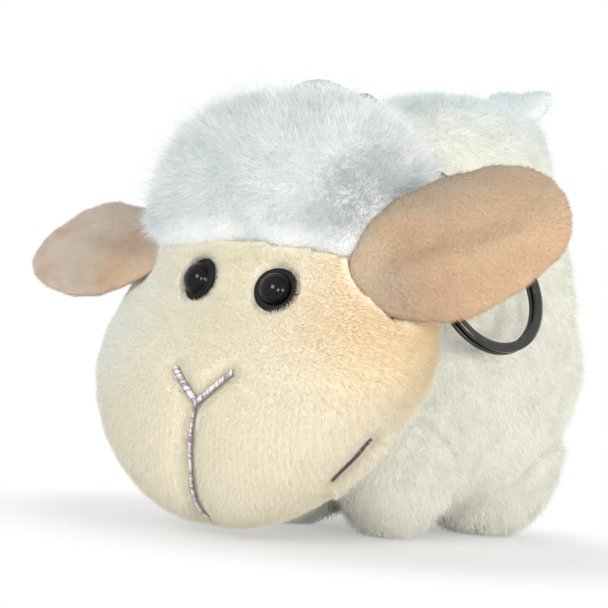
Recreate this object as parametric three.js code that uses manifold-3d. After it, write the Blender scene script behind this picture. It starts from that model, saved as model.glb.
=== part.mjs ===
// A small plush sheep on a key ring, standing on its four stub legs and facing -Y.
// Lengths are in millimetres, +Z is up, +X is the sheep's left, and the floor is Z = 0.

import * as THREE from 'three';
import { mergeVertices } from 'three/addons/utils/BufferGeometryUtils.js';
import Module from 'manifold-3d';

const wasm = await Module();
wasm.setup();

// Clearances
const GAP = 0.3;
const HALF = 0.5;
const OVERRUN = 60;
const WELD = 0.0001;
const INNER_SIDES_SHARE = 0.7;
const INNER_RINGS_SHARE = 0.7;

// Head: one stuffed form, wide at the cheeks and leaning back at the crown
const HEAD_HALF_WIDTH = 33.6;
const HEAD_FRONT = 20;
const HEAD_BACK = 20;
const HEAD_HALF_HEIGHT = 39;
const HEAD_LEAN = 9;
const HEAD_ROUNDNESS = 0.85;
const HEAD_FULLNESS = 2.4;
const HEAD_BACK_FULLNESS = 2.1;
const HEAD_SIDES = 32;
const HEAD_RINGS = 18;
const HEAD_GATHER = 0.3;
const FACE_WALL = 2.2;
const WOOL_WALL = 4;
const CHIN_CLEARANCE = 2;
const CLEFT_DEPTH = 1.6;
const CLEFT_SPREAD = 4;

// Each row: level, half-width, front, back and lean, as shares of the head's sizes
const headShares = [
  [-1.0, 0.86, 1.05, 1.05, -1.0],
  [-0.8, 0.94, 1.0, 1.04, -0.83],
  [-0.6, 0.99, 0.96, 1.05, -0.66],
  [-0.3, 1.03, 0.86, 1.0, -0.28],
  [-0.05, 0.97, 0.73, 0.93, 0.05],
  [0.1, 0.9, 0.66, 0.85, 0.19],
  [0.3, 0.88, 0.82, 0.87, 0.39],
  [0.5, 0.91, 1.04, 0.99, 0.47],
  [0.75, 0.95, 1.12, 1.08, 0.53],
  [1.0, 0.97, 1.12, 1.08, 0.6],
];

// Seam between the cream face and the wool cap: a plane that drops towards the neck
const SEAM_HEIGHT = 10.5;
const SEAM_FRONT = 12;
const SEAM_SLOPE = 24;

// Body: a tall rounded form behind the head, which is pressed into it, highest at the rump
const HEAD_PRESS = 9;
const BODY_HALF_WIDTH = 30;
const BODY_FRONT = 39;
const BODY_BACK = 40;
const BODY_BOTTOM_CLEARANCE = 3.8;
const BODY_TOP = 90;
const BODY_LEAN = 13;
const BODY_ROUNDNESS = 0.55;
const BODY_FULLNESS = 2.35;
const BODY_SIDES = 32;
const BODY_RINGS = 15;
const BODY_WALL = 3;
const CLOSING_SLIT_LENGTH = 24;
const CLOSING_SLIT_WIDTH = 0.8;

// Each row: level, half-width, front, back and lean, as shares of the body's sizes
const bodyShares = [
  [-1.0, 0.92, 0.88, 0.86, 0.0],
  [-0.7, 1.03, 0.96, 0.99, 0.0],
  [-0.35, 1.05, 1.0, 1.02, 0.0],
  [0.0, 0.96, 0.97, 0.96, 0.0],
  [0.35, 0.89, 0.93, 0.92, 0.0],
  [0.7, 0.8, 0.87, 0.9, 0.25],
  [1.0, 0.78, 0.8, 0.92, 1.0],
];

// Legs: stuffed stubs at the front and rounder haunches at the rear, cut flat where they stand
const LEG_FRONT_HALF_WIDTH = 10.6;
const LEG_FRONT_HALF_LENGTH = 12.4;
const LEG_FRONT_HALF_HEIGHT = 15;
const LEG_FRONT_APART = 23;
const LEG_FRONT_PLACE = -22.5;
const LEG_REAR_HALF_WIDTH = 12.6;
const LEG_REAR_HALF_LENGTH = 16.5;
const LEG_REAR_HALF_HEIGHT = 16;
const LEG_REAR_APART = 27;
const LEG_REAR_PLACE = 12;
const LEG_FLAT_DEPTH = 0.5;
const LEG_ROUNDNESS = 0.95;
const LEG_FULLNESS = 2;
const LEG_SIDES = 18;
const LEG_RINGS = 9;
const LEG_WALL = 2.5;

// Each row: level, half-width, front, back and lean, as shares of a leg's sizes
const legShares = [
  [-1.0, 0.96, 0.96, 0.96, 0.0],
  [-0.3, 1.03, 1.03, 1.03, 0.0],
  [0.3, 1.0, 1.0, 1.0, 0.0],
  [1.0, 0.9, 0.9, 0.9, 0.0],
];

// Ears: flat oval pouches with a round root that turns in a pocket at the side of the head
const EAR_LENGTH = 38;
const EAR_ROOT = 9;
const EAR_HALF_WIDTH = 12;
const EAR_HALF_THICKNESS = 2.7;
const EAR_CUP = 2.2;
const EAR_PIVOT_SIDE = 29.3;
const EAR_PIVOT_FRONT = 5.2;
const EAR_PIVOT_HEIGHT = 7.7;
const EAR_SWEEP_LEFT = 13;
const EAR_SWEEP_RIGHT = 10;
const EAR_LIFT_LEFT = 17;
const EAR_LIFT_RIGHT = 4;
const EAR_TWIST_LEFT = 0;
const EAR_TWIST_RIGHT = -38;
const EAR_SWING = 16;
const EAR_SIDES = 16;
const EAR_RINGS = 12;
const EAR_FULLNESS = 1.8;
const EAR_POCKET_TURNS = 4;

// Each row: place along the ear, half-width and half-thickness, as shares of the ear's sizes
const earShares = [
  [0.0, 1.15, 0.85],
  [0.2, 1.0, 0.95],
  [0.45, 1.0, 1.0],
  [0.75, 1.02, 0.9],
  [1.0, 1.12, 0.8],
];

// Tail: a short square tab at the top of the rump
const TAIL_LENGTH = 19;
const TAIL_ROOT = 5;
const TAIL_HALF_WIDTH = 6.8;
const TAIL_HALF_THICKNESS = 2.6;
const TAIL_PIVOT_BACK = 28;
const TAIL_PIVOT_SIDE = 0;
const TAIL_PIVOT_DROP = 4;
const TAIL_LIFT = 48;
const TAIL_SWING = 15;
const TAIL_SIDES = 12;
const TAIL_RINGS = 8;
const TAIL_FULLNESS = 2.6;
const TAIL_POCKET_TURNS = 2;
const TAIL_TIP_SHARE = 0.98;

// Each row: place along the tail, half-width and half-thickness, as shares of the tail's sizes
const tailShares = [
  [0.0, 0.85, 0.9],
  [0.4, 0.95, 1.0],
  [0.8, 1.1, 1.0],
  [1.0, 1.5, 1.2],
];

// The eyes and the Y were set a little to the sheep's left of the middle
const FACE_SHIFT = 0.7;

// Safety eyes: a dome on a flange, with a ridged shank and a washer pressed on behind the cloth
const EYE_APART = 17.2;
const EYE_HEIGHT_LEFT = 1.9;
const EYE_HEIGHT_RIGHT = 3.2;
const EYE_SPLAY = 17;
const EYE_PITCH = 14;
const EYE_SINK = 0.9;
const EYE_FLANGE_RADIUS = 4;
const EYE_FLANGE_HEIGHT = 0.8;
const EYE_DOME_RADIUS = 2.9;
const EYE_DOME_HEIGHT = 2.5;
const EYE_SHANK_RADIUS = 1.4;
const EYE_RIDGE = 0.25;
const EYE_RIDGES = 3;
const EYE_SHANK_LENGTH = 9;
const EYE_SEGMENTS = 16;
const DOME_STEPS = 4;
const WASHER_RADIUS = 4.5;
const WASHER_THICKNESS = 1.2;
const WASHER_CLEARANCE = 1.2;

// Embroidery: satin stitch in a Y from the nose to the chin, and a short stitch at each mouth corner
const STITCH_RADIUS = 0.65;
const STITCH_SIDES = 8;
const STITCH_STEP = 2.2;
const NOSE_ARM_SIDE = 6.1;
const NOSE_ARM_HEIGHT = -12.7;
const NOSE_JUNCTION_HEIGHT = -18.3;
const NOSE_STEM_END_SHARE = 0.98;
const NOSE_STEM_END_SIDE = -0.5;
const MOUTH_ANGLE = 87.5;
const MOUTH_OUTER_HEIGHT = -22.2;
const MOUTH_INNER_HEIGHT = -29.8;

// Hanging loop: a braided cord sewn into the crown, lying over the wool
const CORD_DIAMETER = 2.2;
const CORD_SIDES = 8;
const CORD_STEPS = 26;

// Points of the cord's middle line, from the crown
const cordRoute = [
  [-14.2, 10.8, -3.2],
  [-12.2, 10.4, -1.4],
  [-9.6, 10.0, 0.2],
  [-6.0, 9.7, 1.7],
  [-2.4, 9.5, 2.5],
  [1.2, 9.6, 2.3],
  [4.0, 10.7, 1.5],
  [5.5, 12.9, 0.8],
  [5.4, 15.6, 0.3],
  [3.9, 17.8, -0.1],
  [1.2, 18.7, -0.6],
  [-1.8, 18.6, -1.5],
  [-4.8, 18.0, -2.8],
  [-7.4, 17.2, -4.4],
  [-9.4, 16.4, -6.2],
];

// Chain: seven oval wire links from the loop to the ring
const LINK_COUNT = 7;
const LINK_LENGTH = 7.3;
const LINK_WIDTH = 5.1;
const LINK_WIRE = 0.9;
const LINK_END_STEPS = 6;
const LINK_WIRE_SIDES = 6;

// Points that the chain follows from the loop down to the ring, from the crown,
// and the way that its first and last links face
const chainRoute = [
  [5.4, 15.6, 0.3],
  [8.6, 17.0, -2.3],
  [11.6, 19.2, -5.9],
  [14.5, 20.9, -9.2],
  [17.8, 21.9, -12.2],
  [21.5, 22.9, -15.5],
  [25.7, 24.0, -19.1],
  [28.7, 24.5, -23.2],
  [29.6, 24.8, -26.2],
];
const chainFacings = [
  [0.47, 0.3, 0.82],
  [0.88, -0.32, 0.36],
];

// Split ring: flat spring wire in two turns that change level at one step
const RING_RADIUS = 12.2;
const RING_WIRE_WIDTH = 1.8;
const RING_WIRE_THICKNESS = 0.9;
const RING_WIRE_BEVEL = 0.25;
const RING_TURN_GAP = 0.45;
const RING_STEP_ANGLE = 34;
const RING_END_ANGLE = 5;
const RING_STEP_PLACE = 118;
const RING_STEPS = 48;

const headHeight = CHIN_CLEARANCE + HEAD_HALF_HEIGHT;
const bodyHalfHeight = (BODY_TOP - BODY_BOTTOM_CLEARANCE) * HALF;
const bodyBehindHead = HEAD_BACK + BODY_FRONT - HEAD_PRESS;
const bodyHeight = BODY_BOTTOM_CLEARANCE + bodyHalfHeight;

// The box that holds the whole sheep is centred on the origin from front to back
const tailReach = TAIL_LENGTH * TAIL_TIP_SHARE * Math.cos(radians(TAIL_LIFT));
const rearEnd = bodyBehindHead + TAIL_PIVOT_BACK + tailReach;
const frontEnd = HEAD_FRONT + CLEFT_DEPTH;
const headPlace = new THREE.Vector3(0, (frontEnd - rearEnd) * HALF, headHeight);
const bodyPlace = new THREE.Vector3(0, headPlace.y + bodyBehindHead, bodyHeight);

function radians(degrees) {
  return THREE.MathUtils.degToRad(degrees);
}

function toSolid(geometry) {
  const bare = new THREE.BufferGeometry();
  bare.setAttribute('position', geometry.getAttribute('position').clone());
  if (geometry.index) bare.setIndex(geometry.index);
  const merged = mergeVertices(bare, WELD);
  const corners = merged.index.array;
  const kept = [];
  for (let i = 0; i < corners.length; i += 3) {
    const [a, b, c] = [corners[i], corners[i + 1], corners[i + 2]];
    if (a !== b && b !== c && c !== a) kept.push(a, b, c);
  }
  const vertProperties = new Float32Array(merged.getAttribute('position').array);
  return new wasm.Manifold(new wasm.Mesh({ numProp: 3, vertProperties, triVerts: new Uint32Array(kept) }));
}

function toGeometry(solid) {
  const mesh = solid.getMesh();
  const geometry = new THREE.BufferGeometry();
  geometry.setAttribute('position', new THREE.BufferAttribute(new Float32Array(mesh.vertProperties), 3));
  geometry.setIndex(new THREE.BufferAttribute(new Uint32Array(mesh.triVerts), 1));
  geometry.computeVertexNormals();
  return geometry;
}

function cut(geometry, ...cutters) {
  let solid = toSolid(geometry);
  for (const cutter of cutters) solid = solid.subtract(toSolid(cutter));
  return toGeometry(solid);
}

function join(...geometries) {
  let solid = toSolid(geometries[0]);
  for (const geometry of geometries.slice(1)) solid = solid.add(toSolid(geometry));
  return toGeometry(solid);
}

function moved(geometry, place) {
  return geometry.clone().translate(place.x, place.y, place.z);
}

// Closed body over rings of points that run anticlockwise, as seen from the last end
function skin(rings, firstEnd, lastEnd) {
  const points = [firstEnd, ...rings.flat(), lastEnd];
  const sides = rings[0].length;
  const at = (ring, side) => 1 + ring * sides + (side % sides);
  const faces = [];
  for (let side = 0; side < sides; side += 1) {
    faces.push(0, at(0, side + 1), at(0, side));
    for (let ring = 0; ring + 1 < rings.length; ring += 1) {
      faces.push(at(ring, side), at(ring, side + 1), at(ring + 1, side + 1));
      faces.push(at(ring, side), at(ring + 1, side + 1), at(ring + 1, side));
    }
    faces.push(points.length - 1, at(rings.length - 1, side), at(rings.length - 1, side + 1));
  }
  const geometry = new THREE.BufferGeometry().setFromPoints(points);
  geometry.setIndex(faces);
  return geometry;
}

// Closed band over rings of points that follow one another round a loop
function skinLoop(rings) {
  const sides = rings[0].length;
  const at = (ring, side) => (ring % rings.length) * sides + (side % sides);
  const faces = [];
  for (let ring = 0; ring < rings.length; ring += 1) {
    for (let side = 0; side < sides; side += 1) {
      faces.push(at(ring, side), at(ring, side + 1), at(ring + 1, side + 1));
      faces.push(at(ring, side), at(ring + 1, side + 1), at(ring + 1, side));
    }
  }
  const geometry = new THREE.BufferGeometry().setFromPoints(rings.flat());
  geometry.setIndex(faces);
  return geometry;
}

function sharesAt(table, place) {
  const places = table.map((row) => row[0]);
  const values = table.flatMap((row) => row.slice(1));
  const spline = new THREE.CubicInterpolant(places, values, table[0].length - 1);
  return spline.evaluate(place);
}

function power(value, exponent) {
  return Math.sign(value) * Math.pow(Math.abs(value), exponent);
}

// A stuffed form stands along Z. Its outline at a level, -1 at the bottom and 1 at the top,
// is a full oval with its own half-width, front, back and middle.
function outlineAt(form, level) {
  const swell = Math.pow(Math.max(0, 1 - level * level), form.roundness * HALF);
  const [width, front, back, lean] = sharesAt(form.shares, level);
  return {
    z: level * form.halfHeight,
    middle: lean * form.lean,
    halfWidth: swell * width * form.halfWidth,
    front: swell * front * form.front,
    back: swell * back * form.back,
  };
}

function pointOn(form, level, angle) {
  const outline = outlineAt(form, level);
  const fullness = Math.cos(angle) > 0 ? form.fullness : form.backFullness;
  const across = power(Math.sin(angle), 2 / fullness);
  const along = power(Math.cos(angle), 2 / fullness);
  const reach = along > 0 ? outline.front : outline.back;
  const x = across * outline.halfWidth;
  const y = outline.middle - along * reach;
  const dent = form.dent && along > 0 ? form.dent(x, outline.z) * along : 0;
  return new THREE.Vector3(x, y + dent, outline.z);
}

// The front of a form above a point of its face
function faceAt(form, x, z) {
  const outline = outlineAt(form, z / form.halfHeight);
  const aside = Math.min(1, Math.abs(x) / outline.halfWidth);
  const along = Math.pow(1 - Math.pow(aside, form.fullness), 1 / form.fullness);
  const dent = form.dent ? form.dent(x, z) * along : 0;
  return new THREE.Vector3(x, outline.middle - along * outline.front + dent, z);
}

function stuffed(form) {
  const rings = [];
  for (let ring = 1; ring < form.rings; ring += 1) {
    const level = -Math.cos((Math.PI * ring) / form.rings);
    const points = [];
    for (let side = 0; side < form.sides; side += 1) {
      const turn = (2 * Math.PI * side) / form.sides;
      points.push(pointOn(form, level, turn - form.gather * Math.sin(turn)));
    }
    rings.push(points);
  }
  return skin(rings, pointOn(form, -1, 0), pointOn(form, 1, 0));
}

function grown(form, by) {
  return {
    ...form,
    halfWidth: form.halfWidth + by,
    front: form.front + by,
    back: form.back + by,
    halfHeight: form.halfHeight + by,
  };
}

// The hollow of a form, or what fills it, has fewer sides than its outside
function inside(form, depth) {
  const sides = Math.round(form.sides * INNER_SIDES_SHARE);
  const rings = Math.round(form.rings * INNER_RINGS_SHARE);
  return stuffed({ ...grown(form, -depth), sides, rings });
}

// A flat pouch lies along +X in the XZ plane, its round root centred on the origin
function pouch(form, grow, cup) {
  const length = form.length + form.root;
  const rings = [];
  const spread = length + 2 * grow;
  const middleAt = (x, z) => (
    -cup * Math.min(1, Math.pow(z / form.halfWidth, 2)) * Math.max(0, x / form.length)
  );
  for (let ring = 1; ring < form.rings; ring += 1) {
    const share = (1 - Math.cos((Math.PI * ring) / form.rings)) * HALF;
    const [width, thickness] = sharesAt(form.shares, share);
    const swell = Math.sqrt(4 * share * (1 - share));
    const rootSwell = Math.min(1, (form.root / form.halfWidth) * form.rootShare + share * form.flareShare);
    const halfWidth = (form.halfWidth * width * rootSwell + grow) * swell;
    const halfThickness = (form.halfThickness * thickness + grow) * Math.pow(swell, form.flatness);
    const x = share * spread - form.root - grow;
    const points = [];
    for (let side = 0; side < form.sides; side += 1) {
      const turn = (2 * Math.PI * side) / form.sides;
      const z = halfWidth * power(Math.sin(turn), 2 / form.fullness);
      const y = halfThickness * power(Math.cos(turn), 2 / form.fullness);
      points.push(new THREE.Vector3(x, y + middleAt(x, z), z));
    }
    rings.push(points);
  }
  const rootEnd = new THREE.Vector3(-form.root - grow, 0, 0);
  return skin(rings, rootEnd, new THREE.Vector3(form.length + grow, 0, 0));
}

// A tube through points, with flat ends
function tubeThrough(points, radius, sides, steps) {
  const section = new THREE.Shape(circlePoints(radius, sides));
  const path = new THREE.CatmullRomCurve3(points);
  return new THREE.ExtrudeGeometry(section, { steps, extrudePath: path });
}

function circlePoints(radius, sides) {
  const points = [];
  for (let side = 0; side < sides; side += 1) {
    const turn = (2 * Math.PI * side) / sides;
    points.push(new THREE.Vector2(radius * Math.cos(turn), radius * Math.sin(turn)));
  }
  return points;
}

function material(color, roughness, metalness = 0) {
  return new THREE.MeshStandardMaterial({ color, roughness, metalness });
}

function piece(name, geometry, finish, group) {
  const mesh = new THREE.Mesh(geometry, finish);
  mesh.name = name;
  group.add(mesh);
  return mesh;
}

const woolWhite = () => material(0xe9edf0, 0.95);
const bodyWhite = () => material(0xf1f0ea, 0.95);
const faceCream = () => material(0xf2e3c2, 0.92);
const earTan = () => material(0xc9a88a, 0.9);
const fillWhite = () => material(0xf7f7f5, 1);
const eyeBlack = () => material(0x0a0a0c, 0.15);
const washerWhite = () => material(0xe8e8e4, 0.5);
const threadMauve = () => material(0x8d6a72, 0.6);
const cordWhite = () => material(0xf4f4f0, 0.8);
const nickel = () => material(0xc9c9c6, 0.22, 1);

const toy = new THREE.Group();
const headGroup = new THREE.Group();
headGroup.position.copy(headPlace);
toy.add(headGroup);
const bodyGroup = new THREE.Group();
bodyGroup.position.copy(bodyPlace);
toy.add(bodyGroup);

// The muzzle is drawn in along the stem of the Y
function cleft(x, z) {
  const across = Math.exp(-Math.pow((x - FACE_SHIFT) / CLEFT_SPREAD, 2));
  const below = THREE.MathUtils.smoothstep(z / NOSE_ARM_HEIGHT, 1, 2);
  return CLEFT_DEPTH * across * below;
}

const headForm = {
  halfWidth: HEAD_HALF_WIDTH,
  front: HEAD_FRONT,
  back: HEAD_BACK,
  halfHeight: HEAD_HALF_HEIGHT,
  lean: HEAD_LEAN,
  roundness: HEAD_ROUNDNESS,
  fullness: HEAD_FULLNESS,
  backFullness: HEAD_BACK_FULLNESS,
  gather: HEAD_GATHER,
  sides: HEAD_SIDES,
  rings: HEAD_RINGS,
  shares: headShares,
  dent: cleft,
};

const bodyForm = {
  halfWidth: BODY_HALF_WIDTH,
  front: BODY_FRONT,
  back: BODY_BACK,
  halfHeight: bodyHalfHeight,
  lean: BODY_LEAN,
  roundness: BODY_ROUNDNESS,
  fullness: BODY_FULLNESS,
  backFullness: BODY_FULLNESS,
  gather: 0,
  sides: BODY_SIDES,
  rings: BODY_RINGS,
  shares: bodyShares,
};

const legForm = {
  lean: 0,
  roundness: LEG_ROUNDNESS,
  fullness: LEG_FULLNESS,
  backFullness: LEG_FULLNESS,
  gather: 0,
  sides: LEG_SIDES,
  rings: LEG_RINGS,
  shares: legShares,
};
const frontLegForm = {
  ...legForm,
  halfWidth: LEG_FRONT_HALF_WIDTH,
  front: LEG_FRONT_HALF_LENGTH,
  back: LEG_FRONT_HALF_LENGTH,
  halfHeight: LEG_FRONT_HALF_HEIGHT,
};
const rearLegForm = {
  ...legForm,
  halfWidth: LEG_REAR_HALF_WIDTH,
  front: LEG_REAR_HALF_LENGTH,
  back: LEG_REAR_HALF_LENGTH,
  halfHeight: LEG_REAR_HALF_HEIGHT,
};

const earForm = {
  length: EAR_LENGTH - EAR_ROOT,
  root: EAR_ROOT,
  halfWidth: EAR_HALF_WIDTH,
  halfThickness: EAR_HALF_THICKNESS,
  fullness: EAR_FULLNESS,
  sides: EAR_SIDES,
  rings: EAR_RINGS,
  shares: earShares,
  rootShare: 1.1,
  flareShare: 1,
  flatness: 0.8,
};

const tailForm = {
  length: TAIL_LENGTH - TAIL_ROOT,
  root: TAIL_ROOT,
  halfWidth: TAIL_HALF_WIDTH,
  halfThickness: TAIL_HALF_THICKNESS,
  fullness: TAIL_FULLNESS,
  sides: TAIL_SIDES,
  rings: TAIL_RINGS,
  shares: tailShares,
  rootShare: 1.2,
  flareShare: 1,
  flatness: 0.7,
};

// Where the chain and the ring hang. Each link turns on the wire that it hangs from, and that place
// is the link's own origin.
const crown = new THREE.Vector3(0, 0, HEAD_HALF_HEIGHT);
const fromCrown = (place) => new THREE.Vector3(...place).add(crown);
const cord = cordRoute.map(fromCrown);
const chainCurve = new THREE.CatmullRomCurve3(chainRoute.map(fromCrown));
const linkEndRadius = (LINK_WIDTH - LINK_WIRE) * HALF;
const linkReach = (LINK_LENGTH - LINK_WIRE) * HALF;
const wireStep = LINK_WIRE + GAP;
const cordStep = (CORD_DIAMETER + LINK_WIRE) * HALF + GAP;
const facingStart = new THREE.Vector3(...chainFacings[0]);
const facingEnd = new THREE.Vector3(...chainFacings[1]);

function facingOf(x, y, z) {
  return new THREE.Quaternion().setFromRotationMatrix(new THREE.Matrix4().makeBasis(x, y, z));
}

function frameOf(along, facing) {
  const x = along.clone().normalize();
  const y = new THREE.Vector3().crossVectors(facing, x).normalize();
  return facingOf(x, y, new THREE.Vector3().crossVectors(x, y));
}

const linkPoses = [];
let hang = cord[Math.ceil(cord.length * HALF)];
let along = null;
for (let i = 0; i < LINK_COUNT; i += 1) {
  const reach = (i + HALF) * (2 * linkReach - wireStep);
  const before = along;
  along = chainCurve.getTangentAt(Math.min(1, reach / chainCurve.getLength()));
  const facing = facingStart.clone().lerp(facingEnd, i / (LINK_COUNT - 1));
  facing.addScaledVector(along, -facing.dot(along)).normalize();
  const upright = i % 2 === 0;
  if (!upright) hang = hang.clone().addScaledVector(before, -wireStep);
  const lead = i === 0 ? cordStep : wireStep * Number(upright);
  const across = new THREE.Vector3().crossVectors(along, facing);
  linkPoses.push({
    seat: hang,
    facing: frameOf(along, upright ? across : facing),
    middleAlong: linkReach - lead,
  });
  hang = hang.clone().addScaledVector(along, 2 * linkReach - lead);
}

const ringUp = new THREE.Vector3(0, 0, 1);
ringUp.addScaledVector(facingEnd, -facingEnd.z / facingEnd.lengthSq()).normalize();
const ringAcross = new THREE.Vector3().crossVectors(ringUp, facingEnd).normalize();
const ringHang = hang.clone().addScaledVector(along, -linkEndRadius - 2 * GAP);
const ringPose = {
  seat: ringHang.addScaledVector(ringUp, RING_WIRE_WIDTH * HALF - RING_RADIUS),
  facing: facingOf(ringAcross, ringUp, facingEnd.clone().normalize()),
};

// The plush gives way where a link or the ring lies against it
const linkRooms = linkPoses.map((pose) => {
  const slab = new THREE.BoxGeometry(LINK_LENGTH + 2 * GAP, LINK_WIDTH + 2 * GAP, LINK_WIRE + 2 * GAP);
  return posed(slab.translate(pose.middleAlong, 0, 0), pose);
});
const ringRoomRise = RING_WIRE_THICKNESS + RING_TURN_GAP * HALF + GAP;
const ringRoom = posed(disc(RING_RADIUS + GAP, -ringRoomRise, ringRoomRise), ringPose);
const chainRooms = [...linkRooms, ringRoom];
const bodyRooms = chainRooms.map((room) => moved(room, headPlace.clone().sub(bodyPlace)));

// Body cover and its filling. The slit underneath is where the filling goes in.
const bodyClear = stuffed(grown(bodyForm, GAP));
const bodyInHead = moved(bodyClear, bodyPlace.clone().sub(headPlace));

const tailPivot = new THREE.Vector3(TAIL_PIVOT_SIDE, TAIL_PIVOT_BACK, bodyHalfHeight - TAIL_PIVOT_DROP);

function tailAt(lift, grow) {
  const geometry = pouch(tailForm, grow, 0);
  geometry.rotateX(Math.PI * HALF);
  geometry.rotateZ(Math.PI * HALF);
  geometry.rotateX(radians(lift));
  return geometry;
}

function swept(shapeAt, middle, swing, turns) {
  const copies = [];
  for (let turn = 0; turn <= turns; turn += 1) {
    copies.push(shapeAt(middle - swing + (2 * swing * turn) / turns));
  }
  return join(...copies);
}

const tailSwept = swept((lift) => tailAt(lift, GAP), TAIL_LIFT, TAIL_SWING, TAIL_POCKET_TURNS);
const tailPocket = moved(tailSwept, tailPivot);
const slitDepth = BODY_WALL + BODY_BOTTOM_CLEARANCE;
const slit = new THREE.BoxGeometry(CLOSING_SLIT_WIDTH, CLOSING_SLIT_LENGTH, slitDepth);
slit.translate(0, 0, -bodyHalfHeight + BODY_WALL * HALF);
const bodyCavity = inside(bodyForm, BODY_WALL);
const bodyFilling = inside(bodyForm, BODY_WALL + GAP);
const bodyCover = cut(stuffed(bodyForm), bodyCavity, tailPocket, slit, ...bodyRooms);
piece('body_cover', bodyCover, bodyWhite(), bodyGroup);
piece('body_stuffing', cut(bodyFilling, tailPocket, ...bodyRooms), fillWhite(), bodyGroup);

const tailMesh = piece('tail', tailAt(TAIL_LIFT, 0), bodyWhite(), bodyGroup);
tailMesh.position.copy(tailPivot);

// Legs, each a cover over its own filling, cut by the body, the head and the floor
const legClearOfHead = moved(stuffed(grown(headForm, GAP)), headPlace.clone().sub(bodyPlace));

function floorUnder(place, thickness) {
  const slab = new THREE.BoxGeometry(OVERRUN, OVERRUN, OVERRUN);
  slab.translate(place.x, place.y, thickness - bodyPlace.z - OVERRUN * HALF);
  return slab;
}

function leg(name, form, across, along) {
  const place = new THREE.Vector3(across, along, form.halfHeight - LEG_FLAT_DEPTH - bodyPlace.z);
  const outer = moved(stuffed(form), place);
  const hollow = cut(moved(inside(form, LEG_WALL), place), floorUnder(place, LEG_WALL));
  const filling = moved(inside(form, LEG_WALL + GAP), place);
  const cover = cut(outer, hollow, bodyClear, legClearOfHead, floorUnder(place, 0));
  piece(`${name}_cover`, cover, bodyWhite(), bodyGroup);
  const core = cut(filling, bodyClear, legClearOfHead, floorUnder(place, LEG_WALL + GAP));
  piece(`${name}_stuffing`, core, fillWhite(), bodyGroup);
}

leg('leg_front_left', frontLegForm, LEG_FRONT_APART * HALF, LEG_FRONT_PLACE);
leg('leg_front_right', frontLegForm, -LEG_FRONT_APART * HALF, LEG_FRONT_PLACE);
leg('leg_rear_left', rearLegForm, LEG_REAR_APART * HALF, LEG_REAR_PLACE);
leg('leg_rear_right', rearLegForm, -LEG_REAR_APART * HALF, LEG_REAR_PLACE);

// Ears
function earAt(side, lift, grow) {
  const geometry = pouch(earForm, grow, EAR_CUP);
  geometry.rotateX(radians(side > 0 ? EAR_TWIST_LEFT : EAR_TWIST_RIGHT));
  geometry.rotateY(-radians(lift));
  geometry.rotateZ(radians(side > 0 ? EAR_SWEEP_LEFT : EAR_SWEEP_RIGHT));
  if (side < 0) mirror(geometry);
  return geometry;
}

function mirror(geometry) {
  geometry.scale(-1, 1, 1);
  const corners = geometry.index.array;
  for (let i = 0; i < corners.length; i += 3) {
    [corners[i], corners[i + 1]] = [corners[i + 1], corners[i]];
  }
}

function earPivot(side) {
  return new THREE.Vector3(side * EAR_PIVOT_SIDE, -EAR_PIVOT_FRONT, EAR_PIVOT_HEIGHT);
}

function earPocket(side, lift) {
  const sweptEar = swept((angle) => earAt(side, angle, GAP), lift, EAR_SWING, EAR_POCKET_TURNS);
  return moved(sweptEar, earPivot(side));
}

const ears = [
  { name: 'ear_left', side: 1, lift: EAR_LIFT_LEFT },
  { name: 'ear_right', side: -1, lift: EAR_LIFT_RIGHT },
];
for (const ear of ears) {
  const mesh = piece(ear.name, earAt(ear.side, ear.lift, 0), earTan(), headGroup);
  mesh.position.copy(earPivot(ear.side));
}
const earPockets = ears.map((ear) => earPocket(ear.side, ear.lift));

// Safety eyes. Z runs out of the face along the eye's axis, and 0 is the back of the flange.
function eyeProfile() {
  const points = [[0, -EYE_SHANK_LENGTH]];
  const pitch = (EYE_SHANK_LENGTH - WASHER_THICKNESS - FACE_WALL) / EYE_RIDGES;
  for (let ridge = 0; ridge < EYE_RIDGES; ridge += 1) {
    const z = ridge * pitch - EYE_SHANK_LENGTH;
    points.push([EYE_SHANK_RADIUS - EYE_RIDGE, z], [EYE_SHANK_RADIUS, z + pitch]);
  }
  points.push([EYE_SHANK_RADIUS, 0], [EYE_FLANGE_RADIUS - EYE_RIDGE, 0]);
  points.push([EYE_FLANGE_RADIUS, EYE_FLANGE_HEIGHT * HALF]);
  points.push([EYE_FLANGE_RADIUS - EYE_RIDGE, EYE_FLANGE_HEIGHT]);
  for (let step = 0; step <= DOME_STEPS; step += 1) {
    const turn = (Math.PI * HALF * step) / DOME_STEPS;
    const rise = EYE_FLANGE_HEIGHT + EYE_DOME_HEIGHT * Math.sin(turn);
    points.push([step < DOME_STEPS ? EYE_DOME_RADIUS * Math.cos(turn) : 0, rise]);
  }
  return points.map(([radius, z]) => new THREE.Vector2(radius, z));
}

function turned(points, segments) {
  const geometry = new THREE.LatheGeometry(points, segments);
  geometry.rotateX(Math.PI * HALF);
  return geometry;
}

function disc(radius, bottom, top, hole = 0) {
  const corners = hole > 0
    ? [[hole, bottom], [radius, bottom], [radius, top], [hole, top], [hole, bottom]]
    : [[0, bottom], [radius, bottom], [radius, top], [0, top]];
  return turned(corners.map(([r, z]) => new THREE.Vector2(r, z)), EYE_SEGMENTS);
}

function eyePose(side, height) {
  const x = side * EYE_APART * HALF + FACE_SHIFT;
  const turn = side * radians(EYE_SPLAY);
  const pitch = radians(EYE_PITCH);
  const out = new THREE.Vector3(
    Math.sin(turn) * Math.cos(pitch),
    -Math.cos(turn) * Math.cos(pitch),
    Math.sin(pitch),
  );
  const seat = faceAt(headForm, x, height).addScaledVector(out, -EYE_SINK);
  const facing = new THREE.Quaternion().setFromUnitVectors(new THREE.Vector3(0, 0, 1), out);
  return { seat, facing };
}

function posed(geometry, pose) {
  return geometry.clone().applyQuaternion(pose.facing).translate(pose.seat.x, pose.seat.y, pose.seat.z);
}

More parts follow.
